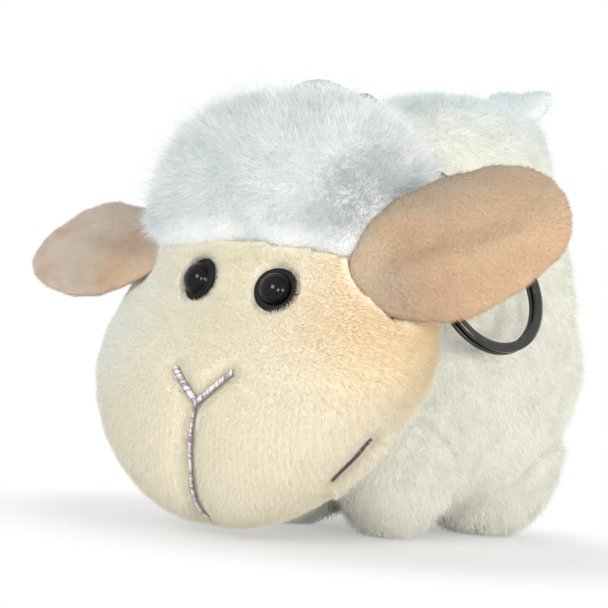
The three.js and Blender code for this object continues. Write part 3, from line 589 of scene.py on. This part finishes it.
def tail_groomed(place, normal):
    """Shorter pile towards the sewn root."""
    free = share_of((place - middle).dot(tipward), -0.003, 0.0)
    return 1.0, 0.2 + 0.55 * free, BACK * 0.5 - DOWN * 0.4


groom(tail_hide, tail_groomed)
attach(tail_hide, "tail")
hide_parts("tail")
tail_nap = grow("tail_nap", tail_hide, nap_blade, BODY_NAP_PER_MM2, white_pile, 65)
tail_pile = grow("tail_pile", tail_hide, body_blade, BODY_PER_MM2, white_pile, 71)
for piece in (tail_nap, tail_pile):
    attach(piece, "tail")

# Face. Cream plush with a very short pile, stuffed with the wool cap as one form. It is drawn
# in along the embroidery and round the eyes, and puckers into a lip beside each mouth stitch.
# The pile is combed out to the sides above and down below.
FACE_VOXEL = 0.0007
FACE_PILE = 0.0011
FACE_PILE_WIDTH = 0.00007
FACE_PER_MM2 = 17
FACE_PARTING = 0.022
EAR_ROOM = 0.0025
RIB_PITCH = 0.0011
STITCH_PULL = 0.0010
STITCH_REACH = 0.0028
LIP_REACH = 0.0022
LIP_RISE = 0.0014
LIP_PLEAT = 0.2
LIP_PLEAT_SIZE = 0.0004
LIP_SIDE = Vector((0.15, 0.98, -0.13))
EYE_REACH = 0.0020
EYE_PULL = 0.0004
STITCH_CLEAR = 0.0009
MOUTH_CLEAR = 0.0012
NOSE_HEIGHT = HEAD_CENTRE.z - 0.008
NOSE_BLEND = 0.012
# Painted warm light on the left cheek, and painted cooler, paler light on the right cheek
WARM_LIGHT_SPOT = HEAD_CENTRE + Vector((0.028, -0.009, 0.000))
COOL_LIGHT_SPOT = HEAD_CENTRE + Vector((-0.034, -0.012, -0.006))

stitch_tree, _ = tree_of(["nose_embroidery", "mouth_stitch_left", "mouth_stitch_right"])
mouth_tree, _ = tree_of(["mouth_stitch_left", "mouth_stitch_right"])
eye_tree, _ = tree_of(["eye_left", "eye_right"])
face_tree, face_faces = tree_of(["face_cover", "wool_cap", "head_stuffing"])
ear_tree, _ = tree_of(["ear_left", "ear_right"])

bm = stuffed_form("face_hide", ["face_cover", "head_stuffing"], FACE_VOXEL, 3)
for vert in bm.verts:
    near = share_of(away(stitch_tree, vert.co), STITCH_REACH, 0)
    mouth, _, _, gap = mouth_tree.find_nearest(vert.co)
    outer = Vector((math.copysign(LIP_SIDE.x, mouth.x), LIP_SIDE.y, LIP_SIDE.z))
    beyond = share_of((vert.co - mouth).dot(outer) / max(gap, 1e-6), 0.1, 0.8)
    lip = share_of(abs(gap - LIP_REACH), LIP_REACH * 0.9, 0) * beyond
    lip *= 1 + LIP_PLEAT * math.sin((vert.co.x + vert.co.z) / LIP_PLEAT_SIZE)
    drawn = share_of(away(eye_tree, vert.co), EYE_REACH, 0)
    vert.co += vert.normal * (LIP_RISE * lip - STITCH_PULL * near - EYE_PULL * drawn)
bm.normal_update()
cream_hide = hide_finish("cream_hide", "efe6cf", "f6f0df", 0.0008)
face_hide = settle(bm, "face_hide", cream_hide)


def face_groomed(place, normal):
    """No pile under the wool, and less on the stitches, at the eyes and beside the ears."""
    near = face_tree.find_nearest(place)
    here = 1.0 if near[2] < face_faces else 0.0
    low = share_of(place.z, NOSE_HEIGHT, NOSE_HEIGHT - NOSE_BLEND)
    side = max(-1.0, min(1.0, place.x / FACE_PARTING)) * (1 - low)
    lie = Vector((side, 0, -0.25 - 0.75 * low)) * 1.3
    clear = share_of(away(stitch_tree, place), 0, STITCH_CLEAR)
    clear *= share_of(away(mouth_tree, place), 0, MOUTH_CLEAR)
    eye, _, _, gap = eye_tree.find_nearest(place)
    beside = share_of(gap, EYE_REACH, 0)
    lie = lie.lerp((eye - place).normalized() * 1.2, beside)
    rubbed = share_of(away(ear_tree, place), EAR_ROOM, 0)
    return here, (0.2 + 0.8 * clear) * (1 - 0.45 * beside) * (1 - 0.6 * rubbed), lie


def painted_light_spot(tree, colour, spot, code, near, far, most):
    """Paints light or shade on a round patch: by this share within near of the spot, and not at all beyond
    far.
    """
    gap = step(tree, "ShaderNodeVectorMath", {0: object_place(tree), 1: spot}, operation="DISTANCE")
    return mixed(tree, ranged(tree, gap.outputs["Value"], far, near, 0.0, most), colour, dye(code))


groom(face_hide, face_groomed)
cream_pile, tree, shader, colour = pile_finish("cream_pile", "efe6cf", "faf5e8", "f7efda", 0.012)
# Painted light: a warm pool of light on the left cheek, and cooler, paler light on the right cheek.
colour = painted_light_spot(tree, colour, WARM_LIGHT_SPOT, "efc37a", 0.002, 0.024, 0.8)
colour = painted_light_spot(tree, colour, COOL_LIGHT_SPOT, "f0f0ec", 0.006, 0.036, 0.8)
ribs = step(tree, "ShaderNodeTexWave", {
    "Vector": object_place(tree), "Scale": 2 * math.pi / (20 * RIB_PITCH),
    "Distortion": 3.0, "Detail": 2.0, "Detail Scale": 0.6,
}).outputs["Fac"]
ribs = ranged(tree, ribs, 0.0, 1.0, 0.9, 1.0)
ribs = step(tree, "ShaderNodeCombineColor", {0: ribs, 1: ribs, 2: ribs}).outputs[0]
tree.links.new(mixed(tree, 1.0, colour, ribs, "MULTIPLY"), shader.inputs["Base Color"])
face_blade = strand("face_blade", FACE_PILE, FACE_PILE_WIDTH, 0, 1)
face_coats = [
    grow(
        name, face_hide, face_blade, FACE_PER_MM2, cream_pile, seed,
        scatter=0.35, clump=0.35, clump_size=0.003, turn=1.5,
    )
    for name, seed in (("face_pile", 101), ("face_undercoat", 151))
]
for piece in (face_hide, *face_coats):
    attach(piece, "sheep")
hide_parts("face_cover")

# Wool cap. Long loose white pile over the top and back of the head, sewn to the face
# along a slanting seam. Dense fibre below, with single longer hairs that stand out.
WOOL_NAP = 0.0024
WOOL_NAP_WIDTH = 0.0001
WOOL_NAP_PER_MM2 = 10
WOOL_PILE = 0.0036
WOOL_PILE_WIDTH = 0.00007
WOOL_PER_MM2 = 5.8
WOOL_HAIR = 0.0060
WOOL_HAIR_WIDTH = 0.00005
WOOL_HAIRS_PER_MM2 = 1.1
WOOL_SWIRL = 0.008
WOOL_LOFT = 0.0004
WOOL_SWELL = 0.0011
WOOL_SWELL_SIZE = 0.013
CORD_PRESS = 0.0026
CORD_REACH = 0.012
LOOSE_FROM = 0.003
LOOSE_TO = 0.014
# Where painted shade greys the wool beside the left ear's root
EAR_SHADE_SPOT = HEAD_CENTRE + Vector((0.031, -0.013, 0.013))

wool_tree, wool_faces = tree_of(["wool_cap", "face_cover", "head_stuffing"])
seam_tree, _ = tree_of(["face_cover"])
cord_tree, _ = tree_of(["cord_loop", "chain_link_1", "chain_link_2", "chain_link_3"])

wool_hide_finish = hide_finish("wool_hide", "f6f8f8", "fdfdfd", 0.0015)
wool_pile_finish, tree, shader, colour = pile_finish("wool_pile", "f6f9f9", "fefefe", "e2e8e9", 0.007, 0.4)
# Painted shade: the pile turns grey-blue round the root of the left ear.
colour = painted_light_spot(tree, colour, EAR_SHADE_SPOT, "a6aeb1", 0.007, 0.022, 0.75)
tree.links.new(colour, shader.inputs["Base Color"])


def looseness(place):
    """How freely the wool stands: 0 where the loop and the chain press it flat, 1 away from them
    and on the far side of the head."""
    clear = share_of(away(cord_tree, place), CORD_REACH / 2, CORD_REACH)
    return max(clear, share_of(-place.x, LOOSE_FROM, LOOSE_TO))


bm = stuffed_form("wool_hide", ["wool_cap", "head_stuffing"], HIDE_VOXEL, 4)
swollen(bm, WOOL_SWELL_SIZE, WOOL_SWELL, 8.0)
for vert in bm.verts:
    vert.co += vert.normal * (WOOL_LOFT - CORD_PRESS * (1 - looseness(vert.co)))
wool_hide = settle(bm, "wool_hide", wool_hide_finish)


def wool_groomed(place, normal):
    """No pile under the face's cloth. It is shorter at the seam, the eyes and the ears, and
    brushed forwards where the loop and the chain press it."""
    near = wool_tree.find_nearest(place)
    here = 1.0 if near[2] < wool_faces else 0.0
    clear = share_of(away(eye_tree, place), 0.001, 0.005)
    loose = looseness(place)
    edge = share_of(away(seam_tree, place), 0.001, 0.007) * share_of(away(ear_tree, place), 0, EAR_ROOM)
    brushed = Vector((0, -3, -1)) * (1 - loose)
    reach = (0.35 + 0.65 * clear) * (0.25 + 0.75 * loose) * (0.6 + 0.4 * edge)
    return here, reach, DOWN * 0.25 + brushed


groom(wool_hide, wool_groomed)
# Painted shade: the long hairs are grey-blue on the white wool.
shaded_hair_finish, tree, shader, colour = pile_finish("wool_hair", "ccd6df", "dee5eb", "b9c6d2", 0.007, 0.4)
tree.links.new(colour, shader.inputs["Base Color"])
wool_nap_blade = strand("wool_nap_blade", WOOL_NAP, WOOL_NAP_WIDTH, 0.4, 2)
wool_blade = strand("wool_blade", WOOL_PILE, WOOL_PILE_WIDTH, 0.4, 3)
wool_hair = strand("wool_hair", WOOL_HAIR, WOOL_HAIR_WIDTH, 0.3, 4)
wool_nap = grow(
    "wool_nap", wool_hide, wool_nap_blade, WOOL_NAP_PER_MM2, wool_pile_finish, 181,
    scatter=0.6, clump=0.9, clump_size=WOOL_SWIRL, turn=3.1,
)
wool_pile = grow(
    "wool_pile", wool_hide, wool_blade, WOOL_PER_MM2, wool_pile_finish, 201,
    scatter=0.6, clump=1.0, clump_size=WOOL_SWIRL, turn=3.1,
)
wool_hairs = grow(
    "wool_hairs", wool_hide, wool_hair, WOOL_HAIRS_PER_MM2, shaded_hair_finish, 251,
    scatter=0.8, clump=0.9, clump_size=WOOL_SWIRL, turn=3.1,
)
for piece in (wool_hide, wool_nap, wool_pile, wool_hairs):
    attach(piece, "sheep")
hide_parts("wool_cap")

# Ears. Two flat pouches of tan velour, turned right side out and thinly filled, with a soft
# fold along the middle. Each is sewn in by its root, which turns in a pocket of the head.
EAR_VOXEL = 0.0005
EAR_PILE = 0.0006
EAR_PILE_WIDTH = 0.00006
EAR_PER_MM2 = 32
EAR_FOLD = 0.0014
EAR_FOLD_WIDTH = 0.0024
EAR_FOLD_SPREAD = 0.007
EAR_FOLD_SLANT = 0.12
EAR_FOLD_END = 0.021
EAR_FOLD_FULL = 0.010
EAR_WIDTH = 0.022
EAR_CORNER = 0.22
EAR_STRETCH = 0.06
EAR_SWELL = 0.0004
EAR_SWELL_SIZE = 0.005
# Where painted warm light falls on the left ear, near its tip
EAR_WARM_LIGHT_SPOT = (0.056, -0.036, 0.046)


def ear_patches_and_light(tree, shader, colour):
    """Painted shade greys the top edge, a painted sheen makes the far side paler, and painted warm
    light warms it near the tip. It is also warm in soft patches.
    """
    colour = painted_light_along(tree, colour, "Z", "a29280", HEAD_CENTRE.z + 0.012, HEAD_CENTRE.z + 0.024, 0.8)
    colour = painted_light_along(tree, colour, "X", "dccfc4", -0.02, -0.05, 0.8)
    warm = ranged(tree, mottle(tree, 0.011, 1.5), 0.42, 0.65, 0.0, 0.5)
    colour = mixed(tree, warm, colour, dye("cba585"))
    colour = painted_light_spot(tree, colour, EAR_WARM_LIGHT_SPOT, "d8b796", 0.008, 0.026, 0.6)
    tree.links.new(colour, shader.inputs["Base Color"])


tan_hide = hide_finish("tan_hide", "b8a087", "c8b198", 0.0006)
shader = tan_hide.node_tree.nodes["Principled BSDF"]
ear_patches_and_light(tan_hide.node_tree, shader, shader.inputs["Base Color"].links[0].from_socket)
tan_pile, tree, shader, colour = pile_finish("tan_pile", "b39b82", "c9b299", "9e8a76", 0.009)
ear_patches_and_light(tree, shader, colour)
ear_blade = strand("ear_blade", EAR_PILE, EAR_PILE_WIDTH, 0, 1)
for side, name in ((1, "ear_left"), (-1, "ear_right")):
    bm = stuffed_form(name + "_hide", [name], EAR_VOXEL, 3)
    middle, ways = solid_frame(name)
    upward = ways[1] if ways[1].z > 0 else -ways[1]
    forward = ways[2] if ways[2].y < 0 else -ways[2]
    outward = ways[0] if ways[0].x * side > 0 else -ways[0]
    squared = EAR_CORNER if side > 0 else EAR_CORNER / 2
    reach = max((vert.co - middle).dot(outward) for vert in bm.verts)
    sewn = [vert.co.copy() for vert in bm.verts]
    for vert in bm.verts:
        across = (vert.co - middle).dot(upward)
        along = (vert.co - middle).dot(outward)
        wave = math.sin((across - EAR_FOLD_SLANT * along) / EAR_FOLD_WIDTH)
        wave *= math.exp(-((across / EAR_FOLD_SPREAD) ** 2))
        vert.co -= forward * EAR_FOLD * wave * share_of(abs(along), EAR_FOLD_END, EAR_FOLD_FULL)
        corner = squared * max(0, along) * abs(across) / EAR_WIDTH
        vert.co += upward * corner + outward * corner * (1 if across > 0 else -0.3)
        vert.co += outward * EAR_STRETCH * max(0, side * along)
    swollen(bm, EAR_SWELL_SIZE, EAR_SWELL, 12.0)
    for vert, place in zip(bm.verts, sewn):
        vert.co = place.lerp(vert.co, share_of((place - middle).dot(outward), -reach, -0.4 * reach))
    bm.normal_update()
    ear_hide = settle(bm, name + "_hide", tan_hide)

    def ear_groomed(place, normal):
        """Shorter pile towards the sewn root, brushed outwards and down."""
        free = share_of((place - middle).dot(outward), -reach, -0.5 * reach)
        return 1.0, 0.3 + 0.7 * free, Vector((side, 0, -0.3)) * 0.6

    groom(ear_hide, ear_groomed)
    ear_pile = grow(
        name + "_pile", ear_hide, ear_blade, EAR_PER_MM2, tan_pile, 301 + 10 * side,
        scatter=0.25, clump=0.6, clump_size=0.004, turn=3.1,
    )
    for piece in (ear_hide, ear_pile):
        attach(piece, name)
    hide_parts(name)

# Eyes. Black moulded safety eyes: a polished dome on a wider satin flange, with a shank
# through the cloth and a white nylon washer pressed on behind it.
EYE_FLANGE = 0.004
EYE_FLANGE_RISE = 0.0008
EYE_DOME = 0.0029
EYE_DOME_RISE = 0.0025
EYE_SHANK = 0.0014
EYE_SHANK_LENGTH = 0.009
EYE_LIFT = 0.0004

eye_gloss, tree, shader = new_finish("eye_gloss", Roughness=0.13, Specular_IOR_Level=0.24)
scuff = mottle(tree, 0.0008, 5)
tree.links.new(mixed(tree, scuff, dye("030304"), dye("070708")), shader.inputs["Base Color"])
raised(tree, shader, scuff, 0.000003)
eye_satin, tree, shader = new_finish("eye_satin", Roughness=0.6, Specular_IOR_Level=0.2)
scuff = mottle(tree, 0.0005, 5)
tree.links.new(mixed(tree, scuff, dye("0e0e0f"), dye("1c1c1e")), shader.inputs["Base Color"])
raised(tree, shader, scuff, 0.00003)
washer_nylon, tree, shader = new_finish("washer_nylon", Roughness=0.5)
scuff = mottle(tree, 0.002)
tree.links.new(mixed(tree, scuff, dye("e4e4e0"), dye("f4f4f2")), shader.inputs["Base Color"])


def spun(bm, profile, steps):
    """Turns a profile of (radius, height) points about Z into a closed solid."""
    verts = [bm.verts.new((radius, 0, height)) for radius, height in profile]
    edges = [bm.edges.new(pair) for pair in zip(verts, verts[1:])]
    bmesh.ops.spin(
        bm, geom=verts + edges, cent=(0, 0, 0), axis=(0, 0, 1),
        angle=2 * math.pi, steps=steps, use_merge=True,
    )
    bmesh.ops.remove_doubles(bm, verts=bm.verts, dist=1e-7)
    bmesh.ops.recalc_face_normals(bm, faces=bm.faces)


for name in ("left", "right"):
    middle, ways = solid_frame("eye_" + name)
    washer, _ = solid_frame("eye_washer_" + name)
    out = (middle - washer).normalized()
    bm = bmesh.new()
    profile = [(0, -EYE_SHANK_LENGTH), (EYE_SHANK, -EYE_SHANK_LENGTH), (EYE_SHANK, 0)]
    profile += [(EYE_FLANGE - 0.0003, 0), (EYE_FLANGE - 0.00005, 0.0002), (EYE_FLANGE, 0.0004)]
    profile += [(EYE_FLANGE - 0.0001, 0.00065), (EYE_FLANGE - 0.0003, EYE_FLANGE_RISE)]
    profile += [(EYE_DOME + 0.0003, EYE_FLANGE_RISE)]
    for i in range(13):
        turn = math.pi / 2 * i / 12
        radius = EYE_DOME * math.cos(turn) if i < 12 else 0
        profile.append((radius, EYE_FLANGE_RISE + EYE_DOME_RISE * math.sin(turn)))
    spun(bm, profile, 64)
    for face in bm.faces:
        centre = face.calc_center_median()
        domed = centre.z > EYE_FLANGE_RISE + 0.00001
        face.material_index = 0 if domed else 1
    turned = out.to_track_quat("Z", "Y").to_matrix().to_4x4()
    tip = max(vert.co.dot(out) for vert in nodes["eye_" + name].data.vertices)
    base = tip - (EYE_FLANGE_RISE + EYE_DOME_RISE)
    seat = washer + out * (base + EYE_LIFT - washer.dot(out))
    bmesh.ops.transform(bm, matrix=Matrix.Translation(seat) @ turned, verts=bm.verts)
    eye = settle(bm, "eye_" + name + "_moulded", eye_gloss)
    eye.data.materials.append(eye_satin)
    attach(eye, "sheep")
    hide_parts("eye_" + name)
    nodes["eye_washer_" + name].data.materials.clear()
    nodes["eye_washer_" + name].data.materials.append(washer_nylon)

# Embroidery. Mauve rayon thread in satin stitch: a Y from the nose to the chin, with a painted
# highlight along its middle, and a short stitch in a fold at each corner of the mouth, darkened
# with painted shade. Each thread crosses the line at a slant.
FACE_SHIFT = 0.0007
NOSE_ARM = Vector((0.0061, 0, -0.0127))
NOSE_JUNCTION = -0.0183
NOSE_END = Vector((-0.0005, 0, -0.0382))
THREAD_PITCH = 0.00028
THREAD_RADIUS = 0.00015
ARM_HALF = 0.0006
STEM_HALF = 0.00032
MOUTH_HALF = 0.00016
ARM_HIGHLIGHT = 1.0
STEM_HIGHLIGHT = 0.8
MOUTH_SHADE = -1.0
SATIN_RISE = 0.00045
SATIN_SINK = 0.0003

mauve_thread, tree, shader = new_finish("mauve_thread", Roughness=0.3, Anisotropic=0.5, Sheen_Weight=0.3)
plies = mottle(tree, 0.0004, 3)
tint = step(tree, "ShaderNodeAttribute", attribute_name="tint").outputs["Fac"]
colour = mixed(tree, ranged(tree, plies, 0.3, 0.7), dye("6a4e58"), dye("b09ca6"))
# Painted highlight towards near-white where the tint is above 0, and painted shade towards dark maroon
# where it is below
colour = mixed(tree, ranged(tree, tint, 0.0, 0.8, 0.0, 0.95), colour, dye("f6eef2"))
colour = mixed(tree, ranged(tree, tint, 0.0, -0.3, 0.0, 0.9), colour, dye("3c2128"))
tree.links.new(colour, shader.inputs["Base Color"])
raised(tree, shader, plies, 0.00004)


def on_face(x, z):
    """The point of the face straight behind (x, z) as seen from the front."""
    start = Vector((x, HEAD_CENTRE.y - 0.05, HEAD_CENTRE.z + z))
    return head_tree.ray_cast(start, BACK)[0]


def satin(bm, line, half, pale):
    """Threads laid across a line, each from one side to the other over the top. They get a painted
    highlight along the middle, or painted shade where pale is below 0."""
    tint = bm.verts.layers.float.get("tint") or bm.verts.layers.float.new("tint")
    for i in range(len(line) - 1):
        first = len(bm.verts)
        place, normal = line[i]
        ahead = (line[i + 1][0] - place).normalized()
        side = normal.cross(ahead).normalized()
        slant = ahead * half * 0.5
        arch = []
        for k in range(7):
            t = k / 6 * 2 - 1
            rise = SATIN_RISE * (1 - t * t) - THREAD_RADIUS - SATIN_SINK
            arch.append(place + side * half * t + slant * t + normal * rise)
        section = [
            (THREAD_RADIUS * math.cos(turn), THREAD_RADIUS * math.sin(turn))
            for turn in (2 * math.pi * k / 6 for k in range(6))
        ]
        draw_along(bm, arch, lambda i: section, normal)
        bm.verts.ensure_lookup_table()
        for vert in bm.verts[first:]:
            edge = abs((vert.co - place).dot(side)) / (half + THREAD_RADIUS)
            vert[tint] = pale * max(0, 1 - edge) * (0.7 + 0.6 * noise.cell(place * 5000))


bm = stuffed_form("smooth_face", ["face_cover", "head_stuffing"], HIDE_VOXEL, 12)
head_tree = BVHTree.FromBMesh(bm)
bm.free()


def stitched(name, lines):
    """A piece of embroidery from lines, each with its half-width and its painted light: a highlight above
    0, shade below.
    """
    bm = bmesh.new()
    for line, half, pale in lines:
        satin(bm, line, half, pale)
    made = settle(bm, name, mauve_thread)
    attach(made, "sheep")
    return made


def face_line(start, end):
    """Places at the thread's pitch along a straight stitch over the face."""
    rough = []
    for i in range(13):
        share = i / 12
        rough.append(on_face(start.x + (end.x - start.x) * share, start.z + (end.z - start.z) * share))
    even = smooth_line(rough, THREAD_PITCH)
    return [(place, head_tree.find_nearest(place)[1]) for place in even]


junction = Vector((FACE_SHIFT, 0, NOSE_JUNCTION))
nose_lines = []
for side in (-1, 1):
    start = Vector((FACE_SHIFT + side * NOSE_ARM.x, 0, NOSE_ARM.z))
    nose_lines.append((face_line(start, junction), ARM_HALF, ARM_HIGHLIGHT))
nose_lines.append((face_line(junction, NOSE_END), STEM_HALF, STEM_HIGHLIGHT))
nose = stitched("nose_stitches", nose_lines)
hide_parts("nose_embroidery")
for side in ("left", "right"):
    middle, ways = solid_frame("mouth_stitch_" + side)
    corners = [vert.co for vert in nodes["mouth_stitch_" + side].data.vertices]
    reach = max((corner - middle).dot(ways[0]) for corner in corners)
    ends = [middle - ways[0] * reach, middle, middle + ways[0] * reach]
    ends.sort(key=lambda place: -place.z)
    line = [head_tree.find_nearest(place)[:2] for place in smooth_line(ends, THREAD_PITCH)]
    mouth = stitched("mouth_stitches_" + side, [(line, MOUTH_HALF, MOUTH_SHADE)])
    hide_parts("mouth_stitch_" + side)

# Chain. Seven oval links of nickel-plated steel wire, bent shut one through the next,
# between the cord loop and the split ring. The metal is coloured dark as a painted reflection
# of dark surroundings.
LINK_LENGTH = 0.0073
LINK_WIDTH = 0.0051
LINK_WIRE = 0.0009
LINK_STATIONS = 48

nickel, tree, shader = new_finish("nickel", Metallic=1.0, Roughness=0.16)
wear = mottle(tree, 0.0015, 5)
# Painted reflection: the nickel's colour is set dark, as if it reflected dark surroundings, with random
# blotches of wear.
tree.links.new(mixed(tree, wear, dye("3a3937"), dye("5a5956")), shader.inputs["Base Color"])
rough = ranged(tree, mottle(tree, 0.0006, 4), 0.3, 0.8, 0.1, 0.3)
tree.links.new(rough, shader.inputs["Roughness"])
raised(tree, shader, wear, 0.00001)


def wire_section(i):
    """The round section of a link, which is the same at every station."""
    turns = [2 * math.pi * k / 12 for k in range(12)]
    return [(LINK_WIRE / 2 * math.cos(turn), LINK_WIRE / 2 * math.sin(turn)) for turn in turns]


for number in range(1, 8):
    name = f"chain_link_{number}"
    middle, ways = solid_frame(name)
    reach = (LINK_LENGTH - LINK_WIRE) / 2
    bow = (LINK_WIDTH - LINK_WIRE) / 2
    line = []
    for k in range(LINK_STATIONS):
        turn = 2 * math.pi * k / LINK_STATIONS
        straight = math.copysign(reach - bow, math.cos(turn))
        line.append(middle + ways[0] * (bow * math.cos(turn) + straight) + ways[1] * bow * math.sin(turn))
    bm = bmesh.new()
    draw_along(bm, line, wire_section, ways[2], closed=True)
    link = settle(bm, f"link_{number}_wire", nickel)
    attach(link, name)
    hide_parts(name)

# Split ring. Flat nickel-plated spring wire wound in two turns, which change level at one
# step, so that a key can be threaded on between them. It hangs on the last link.
RING_RADIUS = 0.0122
RING_WIDTH = 0.0018
RING_THICKNESS = 0.0009
RING_BEVEL = 0.00025
RING_GAP = 0.00045
RING_STEP = 34
RING_END = 5
RING_PLACE = 118
RING_STATIONS = 320

corners = [vert.co for vert in nodes["split_ring"].data.vertices]
_, ways = solid_frame("split_ring")
middle = Vector()
for way in ways:
    along = [corner.dot(way) for corner in corners]
    middle += way * (max(along) + min(along)) / 2
link_middle, _ = solid_frame("chain_link_7")
up = link_middle - middle
axis = ways[2] if ways[2].x > 0 else -ways[2]
up = (up - axis * up.dot(axis)).normalized()
right = up.cross(axis)
line = []
for i in range(RING_STATIONS + 1):
    angle = i / RING_STATIONS * (720 - RING_STEP - RING_END)
    climb = share_of(angle, 360 - RING_STEP, 360 - RING_END) - 0.5
    turn = math.radians(angle + RING_PLACE)
    spoke = right * math.cos(turn) + up * math.sin(turn)
    level = climb * (RING_THICKNESS + RING_GAP)
    line.append(middle + spoke * (RING_RADIUS - RING_WIDTH / 2) + axis * level)
section = []
for x, y in ((1, 1), (-1, 1), (-1, -1), (1, -1)):
    near = (x * (RING_WIDTH / 2 - RING_BEVEL), y * RING_THICKNESS / 2)
    far = (x * RING_WIDTH / 2, y * (RING_THICKNESS / 2 - RING_BEVEL))
    section += [far, near] if x * y > 0 else [near, far]
bm = bmesh.new()
draw_along(bm, line, lambda i: section, axis)
ring = settle(bm, "split_ring_wire", nickel)
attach(ring, "split_ring")
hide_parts("split_ring")

# The blades were only patterns for the pile, and go now that it has grown
for pattern in (nap_blade, body_blade, face_blade, wool_nap_blade, wool_blade, wool_hair, ear_blade):
    bpy.data.objects.remove(pattern)

# Floor and light. A white paper floor, pale even light from all round, a soft window in
# front, two small warm lamps low on the sheep's left, and two wide lamps behind it. Away from
# the sheep, floor and backdrop are plain white to the camera.
FLOOR_SIZE = 3.0
FLOOR_MIDDLE = (0, -0.008, 0)
SHADOW_REACH = 0.045
SHADOW_END = 0.08
SHADOW_FADE = 0.4
ROOM_COLOUR = (0.90, 0.965, 1.0, 1)
ROOM_STRENGTH = 0.47


def looked_at(tree):
    """1 for what the camera sees, also in metal and through glass."""
    light_path = step(tree, "ShaderNodeLightPath").outputs
    seen = light_path["Is Camera Ray"]
    for other in ("Is Glossy Ray", "Is Transmission Ray"):
        seen = step(tree, "ShaderNodeMath", {0: seen, 1: light_path[other]}, operation="MAXIMUM").outputs[0]
    return seen


bm = bmesh.new()
bmesh.ops.create_grid(bm, x_segments=1, y_segments=1, size=FLOOR_SIZE)
paper, tree, shader = new_finish("paper", Roughness=0.9, Base_Color=dye("fbfbfb"))
floor = settle(bm, "floor", paper)
plain = step(tree, "ShaderNodeEmission", {"Color": (1, 1, 1, 1), "Strength": 1.0})
reach = step(tree, "ShaderNodeVectorMath", {0: object_place(tree), 1: FLOOR_MIDDLE}, operation="DISTANCE")
far = ranged(tree, reach.outputs["Value"], SHADOW_REACH, SHADOW_END, SHADOW_FADE, 1.0)
seen = step(tree, "ShaderNodeMath", {0: far, 1: looked_at(tree)}, operation="MULTIPLY")
mix = step(tree, "ShaderNodeMixShader", {0: seen.outputs[0], 1: shader.outputs[0], 2: plain.outputs[0]})
tree.links.new(mix.outputs[0], tree.nodes["Material Output"].inputs["Surface"])

world = bpy.data.worlds.new("studio")
scene.world = world
world.use_nodes = True
tree = world.node_tree
room = tree.nodes["Background"]
room.inputs["Color"].default_value = ROOM_COLOUR
room.inputs["Strength"].default_value = ROOM_STRENGTH
backdrop = step(tree, "ShaderNodeBackground", {"Color": (1, 1, 1, 1), "Strength": 1.0})
mix = step(tree, "ShaderNodeMixShader", {0: looked_at(tree), 1: room.outputs[0], 2: backdrop.outputs[0]})
tree.links.new(mix.outputs[0], tree.nodes["World Output"].inputs["Surface"])


def lamp(name, place, size, power, colour):
    """A square lamp that faces the toy."""
    data = bpy.data.lights.new(name, "AREA")
    data.size = size
    data.energy = power
    data.color = colour
    made = bpy.data.objects.new(name, data)
    made.location = place
    made.rotation_euler = (Vector(place) - AIM).to_track_quat("Z", "Y").to_euler()
    scene.collection.objects.link(made)


lamp("window", (0.10, -0.64, 0.25), 0.2, 1.7, (0.98, 1.0, 1.0))
lamp("low_front", (0.44, -0.48, 0.07), 0.13, 1.0, (1.0, 0.96, 0.88))
lamp("side", (0.58, -0.18, 0.07), 0.13, 0.95, (1.0, 0.92, 0.79))
lamp("rear_left", (-0.55, 0.30, 0.16), 0.4, 1.4, (0.98, 0.99, 1.0))
lamp("rear_right", (0.30, 0.65, 0.16), 0.4, 1.4, (1.0, 0.99, 0.97))

scene.view_settings.view_transform = "Standard"
